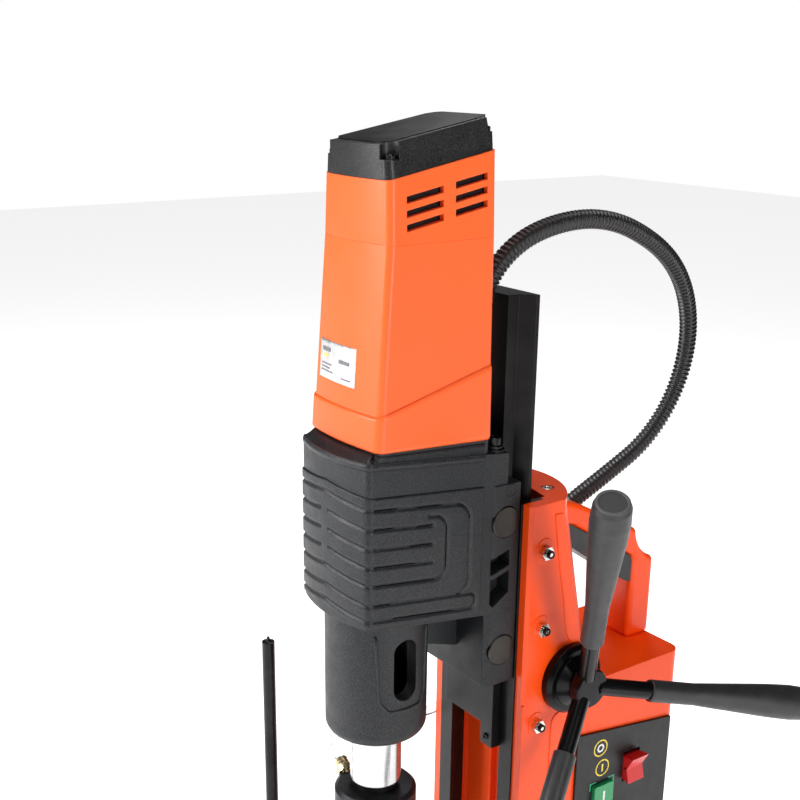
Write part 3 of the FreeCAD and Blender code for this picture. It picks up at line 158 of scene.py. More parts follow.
def textured(name, color, roughness, grain=1500, depth=0.5, painted_glint=2.6):
    """Powder-textured black: coarse grain, with painted glints: the base colour is brightened in specks as if
    the grain caught the light.
    """
    s = Shader(name, color, Specular_IOR_Level=0.36)
    grain_and_painted_glint = s.noise(grain, 3)
    # painted highlight: the specks' base colour is raised up to painted_glint times to stand in for glints
    # off the grain
    s.vary(grain_and_painted_glint, 0.55, painted_glint, 0.42, 0.72)
    s.rough(s.noise(90, 4), roughness - 0.05, roughness + 0.08)
    return s.bump((grain_and_painted_glint, depth, 0.00035), (s.noise(16, 2), 0.05, 0.002), edge=0.0009)


def metal(name, color, roughness, stretch=(60, 60, 1500), wear=0.12, metallic=1.0):
    s = Shader(name, color, Metallic=metallic)
    line = s.noise(1.0, 3, stretch)
    s.vary(s.noise(40, 4), 0.86, 1.1)
    s.rough(line, roughness, roughness + wear)
    return s.bump((line, 0.10, 0.00008), edge=0.0006)


def oxide(name, color, roughness):
    """Blackened steel, a little browner and smoother where hands and ways rub."""
    s = Shader(name, color, Metallic=0.75)
    worn = s.noise(28, 5)
    s.vary(worn, 0.7, 1.9, 0.35, 0.75)
    s.rough(worn, roughness + 0.12, roughness)
    return s.bump((s.noise(420, 3), 0.12, 0.0002), edge=0.0007)


def rubber(name, color, roughness, grain=1100):
    s = Shader(name, color, Sheen_Weight=0.06, Sheen_Roughness=0.5)
    s.vary(s.noise(60, 3), 0.8, 1.35)
    s.rough(s.noise(140, 3), roughness - 0.07, roughness + 0.08)
    return s.bump((s.noise(grain, 2), 0.28, 0.00025), edge=0.0009)


def clear(name, color, roughness, ior):
    s = Shader(name, color, Transmission_Weight=0.92, IOR=ior)
    s.rough(s.noise(30, 4), roughness, roughness + 0.07)
    return s.bump((s.noise(120, 3), 0.05, 0.0006))


def ink(name, color, roughness=0.45):
    s = Shader(name, color)
    s.vary(s.noise(300, 3), 0.85, 1.1)
    s.rough(s.noise(160, 2), roughness - 0.05, roughness + 0.05)
    return s.bump((s.noise(1400, 2), 0.12, 0.0001))


motor_orange = moulding("motor_orange", (0.95, 0.125, 0.022), 0.36, 0.12)
stand_orange = moulding("stand_orange", (0.95, 0.072, 0.002), 0.34, 0.10)
# the last number of each textured() call sets how bright its painted glints are
cast_black = textured("cast_black", (0.0075, 0.0082, 0.0095), 0.42, 1000, 0.7, 3.6)
cap_black = textured("cap_black", (0.013, 0.0132, 0.0135), 0.34, 1100, 0.4, 3.0)
gloss_black = moulding("gloss_black", (0.004, 0.004, 0.0045), 0.34, 0.0)
slide_black = oxide("slide_black", (0.012, 0.011, 0.011), 0.30)
way_black = metal("way_black", (0.035, 0.035, 0.036), 0.32, (900, 900, 12), 0.16)
lever_black = oxide("lever_black", (0.010, 0.010, 0.011), 0.17)
cap_disc = metal("cap_disc", (0.05, 0.046, 0.042), 0.26, (30, 900, 900), 0.14)
ground = metal("ground_steel", (0.66, 0.66, 0.67), 0.16, (8, 8, 1900), 0.13)
zinc = metal("zinc", (0.78, 0.76, 0.72), 0.20, (300, 300, 300), 0.15)
alloy = metal("plate_alloy", (0.86, 0.86, 0.87), 0.30, (900, 8, 8), 0.16)
brass = metal("brass", (0.72, 0.60, 0.36), 0.22, (300, 300, 300), 0.14)
conduit_black = rubber("conduit_black", (0.0075, 0.0072, 0.0075), 0.33, 700)
grip_black = rubber("grip_black", (0.012, 0.012, 0.013), 0.45)
grip_rim = rubber("grip_rim", (0.045, 0.045, 0.047), 0.5, 900)
panel_black = textured("panel_black", (0.0065, 0.0065, 0.007), 0.38, 1700, 0.22, 1.5)
red = moulding("signal_red", (0.62, 0.012, 0.012), 0.28, 0.4)
green = moulding("signal_green", (0.01, 0.26, 0.08), 0.28, 0.4)
potting = ink("potting_resin", (0.012, 0.015, 0.022), 0.35)
foot_black = oxide("foot_black", (0.022, 0.022, 0.024), 0.38)
copper = metal("copper_winding", (0.60, 0.22, 0.09), 0.30, (40, 40, 2600), 0.2)
hose_clear = clear("hose_clear", (0.90, 0.94, 0.95), 0.06, 1.42)
guard_clear = clear("guard_clear", (0.93, 0.96, 0.98), 0.04, 1.49)
yellow_ink = ink("yellow_ink", (0.80, 0.60, 0.06))
green_ink = ink("green_ink", (0.01, 0.34, 0.16))
white_ink = ink("white_ink", (0.80, 0.80, 0.80))
grey_ink = ink("grey_ink", (0.16, 0.16, 0.17))

FINISH = {
    motor_orange: ["motor_housing", "motor_crown"],
    stand_orange: ["stand_column", "control_housing", "handle_bar"],
    cast_black: ["gearbox_housing"],
    cap_black: ["end_cap"],
    cap_disc: ["cheek_cap_1", "cheek_cap_2", "cheek_cap_3", "cheek_cap_4"],
    slide_black: ["slide_bar", "feed_rack", "guard_bracket", "guard_post"],
    way_black: ["way_strip_left", "way_strip_right"],
    lever_black: ["capstan_hub", "capstan_flange", "lever_1", "lever_2", "lever_3", "shaft_cover"],
    foot_black: ["magnet_core", "cutter_arbor", "coolant_collar"],
    potting: ["magnet_coil"],
    ground: ["spindle", "spindle_gear", "lay_wheel", "lay_shaft", "feed_shaft", "feed_pinion",
             "bearing_plate"],
    zinc: ["gib_screw_1", "gib_screw_2", "gib_screw_3", "gib_screw_4", "cutter_screw"],
    alloy: ["rating_plate"],
    grip_black: ["handle_grip", "lever_grip_1", "lever_grip_2", "lever_grip_3", "cord_gland", "motor_gland",
                 "stand_gland"],
    panel_black: ["control_panel"],
    gloss_black: ["speed_dial"],
    red: ["stop_button", "magnet_switch"],
    green: ["start_button"],
    copper: ["stator", "armature"],
    brass: ["hose_fitting", "hose_tap", "tap_lever"],
    guard_clear: ["chip_guard"],
}
for material, names in FINISH.items():
    for name in names:
        node = nodes[name]
        if not node.material_slots:
            node.data.materials.append(None)
        for slot in node.material_slots:
            slot.material = material


# ------------------------------------------------------------ making pieces

SIDES = ((1, "right"), (-1, "left"))


def around(count):
    """Evenly spaced angles round a full turn."""
    return [2 * math.pi * i / count for i in range(count)]


def add(name, mesh, material, body, smooth=True):
    piece = bpy.data.objects.new(name, mesh)
    bpy.context.scene.collection.objects.link(piece)
    mesh.materials.append(material)
    if smooth:
        mesh.shade_smooth()
    if body:
        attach(piece, body)
    return piece


def mesh_from(name, made):
    """A mesh with its faces turned outwards, from a bmesh that it frees."""
    bmesh.ops.recalc_face_normals(made, faces=made.faces)
    mesh = bpy.data.meshes.new(name)
    made.to_mesh(mesh)
    made.free()
    return mesh


def grid_mesh(name, rows, closed=False, capped=False):
    """A mesh from rows of points; closed joins each row's ends, capped fills the first and last rows."""
    made = bmesh.new()
    lines = [[made.verts.new(p) for p in row] for row in rows]
    across = len(rows[0])
    for a, b in zip(lines, lines[1:]):
        for i in range(across if closed else across - 1):
            j = (i + 1) % across
            made.faces.new((a[i], a[j], b[j], b[i]))
    if capped:
        made.faces.new(lines[0])
        made.faces.new(lines[-1])
    return mesh_from(name, made)


def lathe(name, profile, at, axis, material, body, steps=40, angle=35):
    """Turns (radius, along) pairs, in mm, about an axis through at; sharp where the profile turns."""
    pose = Vector(axis).to_track_quat("Z", "Y").to_matrix()
    rows = [[at + pose @ mm(radius * math.cos(t), radius * math.sin(t), along) for t in around(steps)]
            for radius, along in profile]
    piece = add(name, grid_mesh(name, rows, closed=True, capped=True), material, body)
    with bpy.context.temp_override(object=piece, active_object=piece, selected_objects=[piece],
                                   selected_editable_objects=[piece]):
        bpy.ops.object.shade_smooth_by_angle(angle=math.radians(angle))
    return piece


def centreline(name, route):
    """A smooth cord line: a NURBS spline with the route's points as control points."""
    curve = bpy.data.curves.new(name, "CURVE")
    curve.dimensions = "3D"
    curve.resolution_u = 24
    spline = curve.splines.new("NURBS")
    spline.points.add(len(route) - 1)
    for point, place in zip(spline.points, route):
        point.co = (*mm(*place), 1)
    spline.order_u = 3
    spline.use_endpoint_u = True
    holder = bpy.data.objects.new(name, curve)
    bpy.context.scene.collection.objects.link(holder)
    mesh = bpy.data.meshes.new_from_object(holder)
    line = [v.co.copy() for v in mesh.vertices]
    bpy.data.objects.remove(holder)
    bpy.data.meshes.remove(mesh)
    return line


def evenly(line, step):
    """Points about a step apart along the line, and the line's length."""
    reach = [0.0]
    for a, b in zip(line, line[1:]):
        reach.append(reach[-1] + (b - a).length)
    count = max(2, round(reach[-1] / step))
    places, i = [], 0
    for n in range(count + 1):
        want = reach[-1] * n / count
        while i < len(line) - 2 and reach[i + 1] < want:
            i += 1
        share = (want - reach[i]) / max(1e-12, reach[i + 1] - reach[i])
        places.append(line[i].lerp(line[i + 1], min(1, max(0, share))))
    return places, reach[-1]


def tube_rows(places, radii, sides):
    """Rings round a line, carried along it without twisting."""
    rows = []
    side = None
    for i, place in enumerate(places):
        ahead = (places[min(i + 1, len(places) - 1)] - places[max(i - 1, 0)]).normalized()
        if side is None:
            side = ahead.orthogonal().normalized()
        side = (side - ahead * side.dot(ahead)).normalized()
        other = ahead.cross(side)
        rows.append([place + radii[i] * (side * math.cos(t) + other * math.sin(t)) for t in around(sides)])
    return rows


# ------------------------------------------------------------------- cords

CONDUIT_ROUTE = [
    (14, -65, 533), (13.4, -65.2, 560), (14.2, -64.9, 584), (13.8, -65.1, 603), (14, -65, 618),
    (14, -62, 630.1), (14, -56.1, 641.1), (14, -47.6, 650.9), (14, -35.8, 660), (13.8, -20.7, 667.3),
    (13.5, -0.5, 672.8), (12.8, 24.3, 675.7), (11.6, 50.3, 674.6), (10, 76.8, 668.8), (8, 102, 658.6),
    (5.5, 126, 646.2), (2.5, 147.7, 630.1), (-1.5, 165.9, 610.1), (-6, 179.3, 586.6), (-10.5, 186.9, 560.7),
    (-15, 187.8, 533.7), (-19, 181.6, 507.4), (-22.5, 168.4, 483.8), (-25, 149, 465), (-27, 126.5, 452.6),
    (-28.5, 104, 441), (-29.5, 82, 430.5), (-30.5, 61, 419), (-31, 42, 408),
]
HOSE_ROUTE = [
    (-38, -153, 252.5), (-52, -151, 260), (-61, -140, 265), (-65, -124, 267), (-63, -104, 265),
    (-59, -82, 260), (-59, -60, 254), (-63, -38, 250), (-69, -18, 249),
]


def make_conduit():
    """Corrugated conduit: round crests a pitch apart over a narrower core."""
    line = centreline("conduit_line", CONDUIT_ROUTE)
    pitch = 3.9 * MM
    wave = (6.15, 6.2, 6.9, 7.42, 7.5, 7.42, 6.9, 6.2)
    places, length = evenly(line, pitch / len(wave))
    radii = [wave[i % len(wave)] * MM for i in range(len(places))]
    mesh = grid_mesh("conduit", tube_rows(places, radii, 20), closed=True, capped=True)
    piece = add("conduit", mesh, conduit_black, None)
    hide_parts("motor_conduit")
    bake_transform(piece)


def make_hose():
    """The clear coolant hose, from the collar's fitting to the tap on the stand."""
    line = centreline("hose_line", HOSE_ROUTE)
    places, length = evenly(line, 2 * MM)
    mesh = grid_mesh("coolant_line", tube_rows(places, [4 * MM] * len(places), 20), closed=True, capped=True)
    piece = add("coolant_line", mesh, hose_clear, None)
    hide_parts("coolant_hose")
    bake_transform(piece)


make_conduit()
make_hose()


# ------------------------------------------------------------ surface relief

GEARBOX_WRAP = dict(half=43.1, front=-181, back=-80.5, corner=5)
MOTOR_WRAP = dict(half=42.6, front=-174.6, back=-74.6, corner=6)
STAND_OFF = 15        # mm outside a surface where a ray starts
RAY_REACH = 0.06      # metres
SKIN_THICK = 0.7
SKIN_SINK = 0.15      # a skin's border lies this far under the surface


def tree_of(node):
    mesh = nodes[node].data
    return BVHTree.FromPolygons([v.co for v in mesh.vertices], [p.vertices for p in mesh.polygons])


def clamp(value):
    return min(1.0, max(0.0, value))


def smooth(low, high, value):
    t = clamp((value - low) / (high - low))
    return t * t * (3 - 2 * t)


def surface(tree, x, y, z, inward, ahead):
    """Where a level ray from outside meets the surface, or else the point itself, given in mm."""
    start = mm(x - STAND_OFF * inward, y - STAND_OFF * ahead, z)
    return tree.ray_cast(start, Vector((inward, ahead, 0)), RAY_REACH)[0] or mm(x, y, z)


def thicken(piece, thick, offset):
    shell = piece.modifiers.new("Shell", "SOLIDIFY")
    shell.thickness = thick * MM
    shell.offset = offset


def wrap_path(half, front, back, corner, step):
    """Points (x, y, inward x, inward y, s) from one side round the front to the other, in mm.

    s runs back from the front corner; it is negative on the front face.
    """
    right = []
    y = back
    while y > front + corner:
        right.append((half, y, -1.0, 0.0, y - front))
        y -= step
    turns = 7
    for i in range(turns + 1):
        t = math.radians(90 * i / turns)
        right.append((half - corner + corner * math.cos(t), front + corner - corner * math.sin(t),
                      -math.cos(t), math.sin(t), (1 - i / turns) * corner - i / turns * corner))
    x = half - corner - step
    while x > 0:
        right.append((x, front, 0.0, 1.0, x - half))
        x -= step
    left = [(-x, y, -inward, ahead, s) for x, y, inward, ahead, s in reversed(right)]
    return right + left


def relief(name, node, material, path, low, high, height, rows, edge=1.0):
    """A skin over a CAD surface: height(s, z) mm proud, sunk under the surface at its borders."""
    tree = tree_of(node)
    hits = [[surface(tree, x, y, low(s) + (high(s) - low(s)) * i / rows, inward, ahead)
             for i in range(rows + 1)] for x, y, inward, ahead, s in path]
    table = []
    for a, column in enumerate(hits):
        before, after = hits[max(a - 1, 0)], hits[min(a + 1, len(hits) - 1)]
        inward, ahead, s = path[a][2:]
        reach = min(abs(s - path[0][4]), abs(s - path[-1][4]))
        row = []
        for i, point in enumerate(column):
            up = column[min(i + 1, rows)] - column[max(i - 1, 0)]
            normal = (after[i] - before[i]).cross(up).normalized()
            if normal.dot(Vector((inward, ahead, 0))) > 0:
                normal.negate()
            z = point.z / MM
            border = min(z - low(s), high(s) - z, reach if 0 < a < len(hits) - 1 else 0)
            rise = height(s, z) * smooth(0, edge, border) - SKIN_SINK
            row.append(point + normal * rise * MM)
        table.append(row)
    piece = add(name, grid_mesh(name, table), material, "carriage")
    thicken(piece, SKIN_THICK, -1)


def rounded_box(s, w, end, low, high, corner):
    """Distance to the outline of a band between two heights that ends in round corners."""
    middle, half = (low + high) / 2, (high - low) / 2
    across = s - end + corner
    beside = abs(w - middle) - half + corner
    outside = math.hypot(max(across, 0), max(beside, 0))
    return abs(outside + min(max(across, beside), 0) - corner)


def gearbox_groove(s, z):
    """Depth of the cast grooves, 0 to 1; the pattern falls towards the back."""
    w = z + 0.13 * s
    lines = [rounded_box(s, w, end=88, low=425, high=496, corner=13),
             rounded_box(s, w, end=95, low=413, high=425, corner=6)]
    if s > 50 or w < 462:
        lines.append(rounded_box(s, w, end=67, low=439.9, high=488.6, corner=11))
    slot_front, slot_back = -37.5, 54
    for slot in (481.8, 467.5, 453.7):
        lines.append(math.hypot(max(0, s - slot_back, slot_front - s), w - slot))
    if s < 0:
        lines.append(abs(w - 425))
    return 1 - smooth(0.7, 1.9, min(lines))


def make_gearbox_relief():
    """The ribbed middle of the gearbox casting: a proud skin with the grooves sunk into it."""
    proud, groove = 1.35, 1.2
    relief("gearbox_ribs", "gearbox_housing", cast_black, wrap_path(**GEARBOX_WRAP, step=0.95),
           lambda s: 407.1 - 0.142 * (s + 1.5), lambda s: 504.9 - 0.103 * s,
           lambda s, z: proud - groove * gearbox_groove(s, z), rows=112)


def make_shoulder():
    """The casting's sloping shoulder, from its top edge in to the motor's skirt."""
    gearbox, motor = tree_of("gearbox_housing"), tree_of("motor_housing")
    table = []
    for x, y, inward, ahead, s in wrap_path(**GEARBOX_WRAP, step=1.5):
        top = 529 - 0.106 * max(0, s)
        skirt = 535 - 0.056 * max(0, s)
        way = Vector((inward, ahead, 0))
        outer = surface(gearbox, x, y, top - 2.5, inward, ahead)
        inner = surface(motor, x, y, skirt + 1.5, inward, ahead)
        inner.z = (skirt - 0.3) * MM
        lift = max((inner - outer).dot(way), 0) * 0.22
        table.append([outer + way * 0.3 * MM - mm(0, 0, 3),
                      outer - way * 0.25 * MM,
                      outer + way * 0.1 * MM + mm(0, 0, 1.4),
                      outer + way * max(1.2 * MM, lift) + mm(0, 0, 2.6),
                      outer.lerp(inner, 0.6) + way * 0.2 * MM,
                      inner + way * 1.5 * MM])
    piece = add("gearbox_shoulder", grid_mesh("gearbox_shoulder", table), cast_black, "carriage")
    thicken(piece, 0.8, 0)


def make_motor_skirt():
    """The step round the motor housing's foot."""
    relief("motor_skirt", "motor_housing", motor_orange, wrap_path(**MOTOR_WRAP, step=3),
           lambda s: 535.2 - 0.056 * max(0, s), lambda s: 558.8 + 0.26 * max(0, s),
           lambda s, z: 0.95, rows=26, edge=0.9)


# ------------------------------------------------------- small fitted pieces

SEAT = 0.4 * MM       # how far inside its surface a raised pad starts
HAIR = 0.05 * MM      # the same for a printed mark
SIDE_PAD = [(-20.2, 464.2), (-14.6, 427.6), (-7, 391), (-4.7, 375.1), (-2.5, 362), (1.4, 353.5), (6.6, 349.8),
            (12.5, 350.5), (-12, 463.6)]
LOW_PAD = [(-3.3, 292.8), (-9.6, 289.9), (-12.4, 285.6), (-12.9, 279), (-12.9, 104), (-9, 100), (14.6, 100),
           (14.6, 292.8)]
GIB_TIP = [(3.3, 5.6), (3.3, 8.0), (2.9, 8.5), (1.9, 8.5), (1.6, 8.2), (1.6, 6.4), (0.2, 6.2)]
WASHER = [(8.2, 0), (8.2, 1.5), (7.8, 1.8), (6.4, 1.8), (6.4, 2.4), (6.8, 2.7), (6.8, 3.9), (6.4, 4.2),
          (0.4, 4.2)]
RIVET = [(0.9, -0.2), (0.9, 0.15), (0.6, 0.45), (0.1, 0.55)]


def slab(name, outline, origin, u, v, thick, material, body, bevel=0.0):
    """A plate from a (u, v) outline in mm, rising by thick along u x v."""
    made = bmesh.new()
    out = Vector(u).cross(Vector(v)).normalized()
    face = made.faces.new([made.verts.new(origin + mm(*(Vector(u) * a + Vector(v) * b))) for a, b in outline])
    raised = bmesh.ops.extrude_face_region(made, geom=[face])
    bmesh.ops.translate(made, vec=out * thick * MM,
                        verts=[g for g in raised["geom"] if isinstance(g, bmesh.types.BMVert)])
    piece = add(name, mesh_from(name, made), material, body, smooth=False)
    if bevel:
        round_off = piece.modifiers.new("Round", "BEVEL")
        round_off.width = bevel * MM
        round_off.segments = 3
        round_off.limit_method = "ANGLE"
        round_off.angle_limit = math.radians(30)
    return piece


def rounded(half_u, half_v, corner, at=(0, 0), steps=7):
    """Outline of a rectangle with round corners; corner = half_u gives a stadium."""
    points = []
    for cu, cv, first in ((1, 1, 0), (-1, 1, 90), (-1, -1, 180), (1, -1, 270)):
        for i in range(steps + 1):
            t = math.radians(first + 90 * i / steps)
            points.append((at[0] + cu * (half_u - corner) + corner * math.cos(t),
                           at[1] + cv * (half_v - corner) + corner * math.sin(t)))
    return points


def ring(name, at, axis, inner, outer, height, material, body):
    """A flat ring, a hair round at its rims."""
    lip = min(0.2, height / 2)
    profile = [(inner, 0), (outer, 0), (outer, height - lip), (outer - lip, height), (inner + lip, height),
               (inner, height - lip), (inner, 0)]
    pose = Vector(axis).to_track_quat("Z", "Y").to_matrix()
    rows = [[at + pose @ mm(r * math.cos(t), r * math.sin(t), h) for t in around(48)] for r, h in profile]
    mesh = grid_mesh(name, rows, closed=True)
    seam = bmesh.new()
    seam.from_mesh(mesh)
    bmesh.ops.remove_doubles(seam, verts=seam.verts, dist=1e-7)
    seam.to_mesh(mesh)
    seam.free()
    return add(name, mesh, material, body)


def socket_screw(name, at, axis, radius, height, material, body):
    """A cap screw's head with its socket, standing on a seat."""
    hole = radius * 0.52
    profile = [(radius - 0.3, -0.4), (radius, 0.2), (radius, height - 0.7), (radius - 0.7, height),
               (hole + 0.3, height), (hole, height - 0.4), (hole, height * 0.4), (0.2, height * 0.35)]
    return lathe(name, profile, at, axis, material, body)


def make_stand_details():
    """Raised pads on both sides, a boss and a tip at each gib screw, and two top screws."""
    face, _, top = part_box("stand_column")[1]
    for side, label in SIDES:
        u, v = ((0, 1, 0), (0, 0, 1)) if side > 0 else ((0, 0, 1), (0, 1, 0))
        seat = Vector((side * (face - SEAT), 0, 0))
        for name, outline in (("side_pad_", SIDE_PAD), ("low_pad_", LOW_PAD)):
            points = outline if side > 0 else [(b, a) for a, b in outline]
            slab(name + label, points, seat, u, v, 1.2, stand_orange, "stand", 0.7)
        socket_screw("top_screw_" + label, mm(side * 26.4, -3, top / MM - 4), (0, 0, 1), 4.7, 3.8, zinc,
                     "stand")
    for index in range(1, 5):
        low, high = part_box("gib_screw_%d" % index)
        y, z = (low[1] + high[1]) / 2 / MM, (low[2] + high[2]) / 2 / MM
        slab("gib_boss_%d" % index, rounded(7.6, 10.4, 7.5, (y, z + 0.6)), Vector((face - SEAT, 0, 0)),
             (0, 1, 0), (0, 0, 1), 1.1, stand_orange, "stand", 0.6)
        lathe("gib_tip_%d" % index, GIB_TIP, Vector((face, y * MM, z * MM)), (1, 0, 0), lever_black, "stand",
              28)


def make_cap_details():
    """The cap's inlaid top panel, and a screw in each corner notch."""
    slope = 17 / 90       # the cap's top rises towards the back
    front_y, front_top, middle_y, notch = -164, 736.0, -119, 10
    along_top = Vector((0, 1, slope)).normalized()
    middle = mm(0, middle_y, front_top + slope * (middle_y - front_y) - 0.2)
    slab("cap_top", rounded(30.4, 43.4, 11.5), middle, (1, 0, 0), along_top, 0.9, gloss_black, "carriage",
         0.5)
    for side, label in SIDES:
        for end, x, y, inset in (("front", 34.5, -160.5, 1.6), ("rear", 28.5, -77.8, 0)):
            floor = front_top - notch + (y - front_y) * slope
            at = mm(side * (x - inset), y + inset, floor)
            socket_screw("cap_screw_%s_%s" % (end, label), at, (0, 0, 1), 3.3, 3.4, lever_black, "carriage")


def make_rating_plate():
    """A thin plate bent to the motor's bowed front, with plain bars in place of print."""
    low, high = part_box("rating_plate")
    tree = tree_of("motor_housing")
    left, right = low[0], high[0]
    foot, head = low[2], high[2]
    proud = 0.5 * MM

    def seat(a, b, lift=proud):
        """A point on the housing, a and b of the plate's width and height, lifted off it."""
        start = Vector((left + a * (right - left), low[1] - 0.03, foot + b * (head - foot)))
        return tree.ray_cast(start, Vector((0, 1, 0)), 0.1)[0] + Vector((0, -lift, 0))

    across_steps, up_steps = 24, 12
    rows = [[seat(i / across_steps, j / up_steps) for j in range(up_steps + 1)]
            for i in range(across_steps + 1)]
    plate = add("name_plate", grid_mesh("name_plate", rows), alloy, "carriage")
    thicken(plate, 0.8, -1 if plate.data.polygons[0].normal.y < 0 else 1)
    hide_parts("rating_plate")
    wide, tall = (right - left) / MM, (head - foot) / MM
    up = (seat(0.5, 0.8) - seat(0.5, 0.2)).normalized()
    for index, (a, b, width, height, material) in enumerate((
            (0.20, 0.76, 0.24, 0.11, grey_ink), (0.19, 0.60, 0.14, 0.06, yellow_ink),
            (0.72, 0.56, 0.28, 0.10, grey_ink), (0.22, 0.38, 0.30, 0.035, grey_ink),
            (0.20, 0.29, 0.26, 0.035, grey_ink), (0.24, 0.20, 0.34, 0.035, grey_ink),
            (0.78, 0.14, 0.24, 0.035, grey_ink))):
        half_u, half_v = wide * width / 2, tall * height / 2
        across = (seat(a + width / 2, b) - seat(a - width / 2, b)).normalized()
        slab("plate_bar_%d" % index, rounded(half_u, half_v, min(half_u, half_v) * 0.4),
             seat(a, b, proud - 0.1 * MM), tuple(across), tuple(up), 0.3, material, "carriage")
    for index, (a, b) in enumerate(((0.035, 0.5), (0.965, 0.5))):
        lathe("plate_rivet_%d" % index, RIVET, seat(a, b), (0, -1, 0), zinc, "carriage", 20)


def make_vent_shade_cards():
    """Painted shade: dark cards behind the motor's vents, standing in for the shade inside the motor."""
    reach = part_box("motor_crown")[1][0] / MM - 7.2
    for side, label in SIDES:
        # painted shade: a black card that stops light from showing through the vents
        slab("vent_shade_card_" + label, rounded(42, 22, 4), mm(side * reach, -119, 700), (0, side, 0), (0, 0, 1),
             0.8, panel_black, "carriage")


def make_nose_details():
    """A U-shaped rib round each ejector slot, and dark seal rings below the nose."""
    centre_y = -145
    nose_radius = 38.7
    rib = 1.35 * MM
    steps = 40
    for side, label in SIDES:
        line = []
        for i in range(steps + 1):
            t = -1 + 2 * i / steps
            angle = math.radians(31 + 5 * abs(t) ** 3) * math.copysign(min(1, abs(t) * 2.1), t)
            z = 331 + 62 * max(0, (abs(t) - 0.30) / 0.70) ** 1.35
            line.append(mm(side * nose_radius * math.cos(angle), centre_y + nose_radius * math.sin(angle), z))
        name = "slot_rib_" + label
        rows = tube_rows(line, [rib] * len(line), 12)
        add(name, grid_mesh(name, rows, closed=True, capped=True), cast_black, "carriage")
    for index, (z, outer) in enumerate(((255.6, 19.2), (252.6, 17.4))):
        ring("seal_ring_%d" % index, mm(0, centre_y, z), (0, 0, 1), 15, outer, 1.6, gloss_black,
             "spindle_shaft")


def make_carriage_details():
    """Cast marks on the cheeks, two clamp bolts beside the motor, and the screw of the slide's tab."""
    for side, label in SIDES:
        for index, (y, z) in enumerate(((-55, 486.7), (-54.6, 393.1))):
            ring("cast_mark_%s_%d" % (label, index), mm(side * 43.9, y, z), (side, 0, 0), 4.2, 5.0, 0.42,
                 cast_black, "carriage")
        seat = mm(side * 33.5, -65, 516.8)
        lathe("clamp_washer_" + label, WASHER, seat, (0, 0, 1), way_black, "carriage")
        top = mm(0, 0, WASHER[-1][1])
        socket_screw("clamp_bolt_" + label, seat + top, (0, 0, 1), 5.6, 6.4, lever_black, "carriage")
    slide_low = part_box("slide_bar")[0]
    socket_screw("tab_screw", Vector((0.023, slide_low[1], slide_low[2] + 0.008)), (0, -1, 0), 2.7, 1.6,
                 lever_black, "carriage")


def make_lever_rings():
    """A lighter end ring and a joint ring on each lever grip."""
    tilt = math.radians(20)
    first_lever, lever_spacing = -17, 120
    hub_low, hub_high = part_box("capstan_hub")
    root = Vector((hub_low[0] + 9.5 * MM, (hub_low[1] + hub_high[1]) / 2, (hub_low[2] + hub_high[2]) / 2))
    for index in range(3):
        angle = math.radians(first_lever + lever_spacing * index)
        aim = Vector((math.sin(tilt), math.cos(tilt) * math.sin(angle), math.cos(tilt) * math.cos(angle)))
        ring("grip_end_%d" % (index + 1), root + aim * 206.6 * MM, aim, 9.8, 12.2, 0.9, grip_rim, "capstan")
        ring("grip_joint_%d" % (index + 1), root + aim * 57.2 * MM, aim, 7.1, 8.8, 1.0, grip_rim, "capstan")


def make_panel_graphics():
    """Generic marks: two ringed symbols, corner brackets, a start bar, a stop ring and dial ticks."""
    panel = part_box("control_panel")[1][0] - HAIR
    u, v = (0, 1, 0), (0, 0, 1)
    ink_thick = 0.22
    upper, lower = (43.9, 242.6), (47.3, 222.8)
    button_y, dial_y, dial_z = 48, 82, 152
    button_heights = {"start": 197, "stop": 163}

    def flat(name, outline, material):
        slab(name, outline, Vector((panel, 0, 0)), u, v, ink_thick, material, "stand")

    for index, (y, z) in enumerate((upper, lower)):
        ring("symbol_ring_%d" % index, Vector((panel, y * MM, z * MM)), (1, 0, 0), 6.6, 7.9, 0.25, yellow_ink,
             "stand")
    ring("symbol_magnet", Vector((panel, upper[0] * MM, upper[1] * MM)), (1, 0, 0), 2.2, 3.9, 0.25, white_ink,
         "stand")
    flat("symbol_bar", rounded(0.9, 3.6, 0.4, lower), yellow_ink)
    reach, length, width = 14.2, 7, 1.2
    for name, material in (("start", green_ink), ("stop", red)):
        for cu in (-1, 1):
            for cv in (-1, 1):
                y, z = button_y + cu * reach, button_heights[name] + cv * reach
                arm = [(0, 0), (length, 0), (length, width), (width, width), (width, length), (0, length)]
                points = [(y - cu * a, z - cv * b) for a, b in arm]
                if cu * cv > 0:
                    points.reverse()
                flat("%s_bracket_%d_%d" % (name, cu + 1, cv + 1), points, material)
    button_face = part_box("start_button")[1][0] - HAIR
    start_at, stop_at = (Vector((button_face, button_y * MM, button_heights[name] * MM))
                         for name in ("start", "stop"))
    slab("start_mark", rounded(0.9, 4.6, 0.5), start_at, u, v, ink_thick, white_ink, "start")
    ring("stop_mark", stop_at, (1, 0, 0), 3.4, 4.9, ink_thick, white_ink, "stop")
    tick = [(14.6, -0.45), (17.6, -0.45), (17.6, 0.45), (14.6, 0.45)]
    for index in range(11):
        t = math.radians(225 - 27 * index)
        points = [(dial_y + a * math.cos(t) - b * math.sin(t), dial_z + a * math.sin(t) + b * math.cos(t))
                  for a, b in tick]
        flat("dial_tick_%d" % index, points, white_ink)
    pointer_at = Vector((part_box("speed_dial")[1][0] - HAIR, dial_y * MM, dial_z * MM))
    slab("dial_pointer", rounded(0.7, 4, 0.3, (0, 6)), pointer_at, u, v, 0.3, white_ink, "dial")


make_gearbox_relief()
make_shoulder()
make_motor_skirt()
make_stand_details()
make_cap_details()
make_rating_plate()
make_vent_shade_cards()
make_nose_details()
make_carriage_details()
make_lever_rings()
make_panel_graphics()


# ------------------------------------------------------------ floor and light

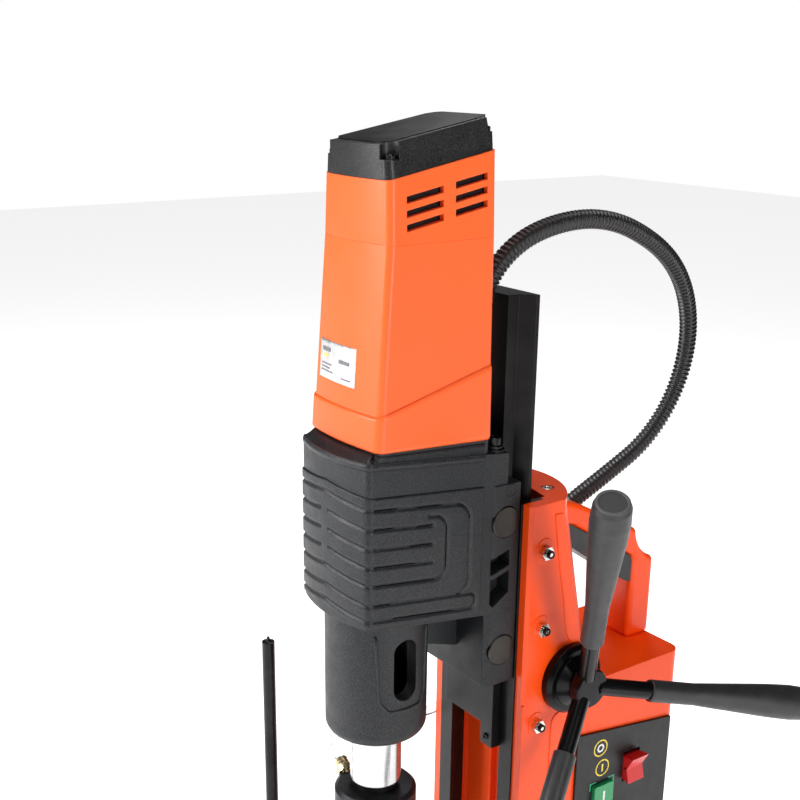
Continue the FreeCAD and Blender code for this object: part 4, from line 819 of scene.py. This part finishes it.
def make_studio():
    """A pale floor, a soft sky that is brighter above and plain white to the camera, and four lamps."""
    far = 6
    floor = bpy.data.meshes.new("floor")
    floor.from_pydata([(-far, -far, 0), (far, -far, 0), (far, far, 0), (-far, far, 0)], [], [(0, 1, 2, 3)])
    paper = ink("floor_paper", (0.93, 0.93, 0.93), 0.7)
    glow = paper.node_tree.nodes["Principled BSDF"].inputs
    glow["Emission Color"].default_value = (1, 1, 1, 1)
    glow["Emission Strength"].default_value = 0.85
    add("floor", floor, paper, None, smooth=False)
    world = bpy.data.worlds.new("studio")
    bpy.context.scene.world = world
    world.use_nodes = True
    tree = world.node_tree
    soft = tree.nodes["Background"]
    where = tree.nodes.new("ShaderNodeSeparateXYZ")
    height = tree.nodes.new("ShaderNodeMapRange")
    tree.links.new(tree.nodes.new("ShaderNodeTexCoord").outputs["Generated"], where.inputs[0])
    tree.links.new(where.outputs["Z"], height.inputs["Value"])
    for key, value in (("From Min", -0.05), ("From Max", 0.85), ("To Min", 0.20), ("To Max", 0.75)):
        height.inputs[key].default_value = value
    tree.links.new(height.outputs[0], soft.inputs["Strength"])
    plain = tree.nodes.new("ShaderNodeBackground")
    plain.inputs["Color"].default_value = (1, 1, 1, 1)
    mix = tree.nodes.new("ShaderNodeMixShader")
    seen = tree.nodes.new("ShaderNodeLightPath").outputs["Is Camera Ray"]
    for socket, source in zip(mix.inputs, (seen, soft.outputs[0], plain.outputs[0])):
        tree.links.new(source, socket)
    tree.links.new(mix.outputs[0], tree.nodes["World Output"].inputs["Surface"])
    aim_at = Vector((0, -0.08, 0.5))
    for name, at, size, power in (("key", (-0.75, -1.7, 1.2), (0.8, 1.3), 46),
                                  ("side", (1.9, -0.1, 0.9), (0.30, 1.5), 20),
                                  ("rim", (-1.2, 0.9, 2.1), (0.5, 0.9), 8),
                                  ("top", (0.2, -0.3, 2.3), (1.0, 1.0), 16)):
        data = bpy.data.lights.new(name, "AREA")
        data.shape = "RECTANGLE"
        data.size, data.size_y = size
        data.energy = power
        lamp = bpy.data.objects.new(name, data)
        lamp.location = at
        lamp.rotation_euler = (aim_at - Vector(at)).to_track_quat("-Z", "Y").to_euler()
        bpy.context.scene.collection.objects.link(lamp)
    bpy.context.scene.view_settings.view_transform = "Standard"


make_studio()
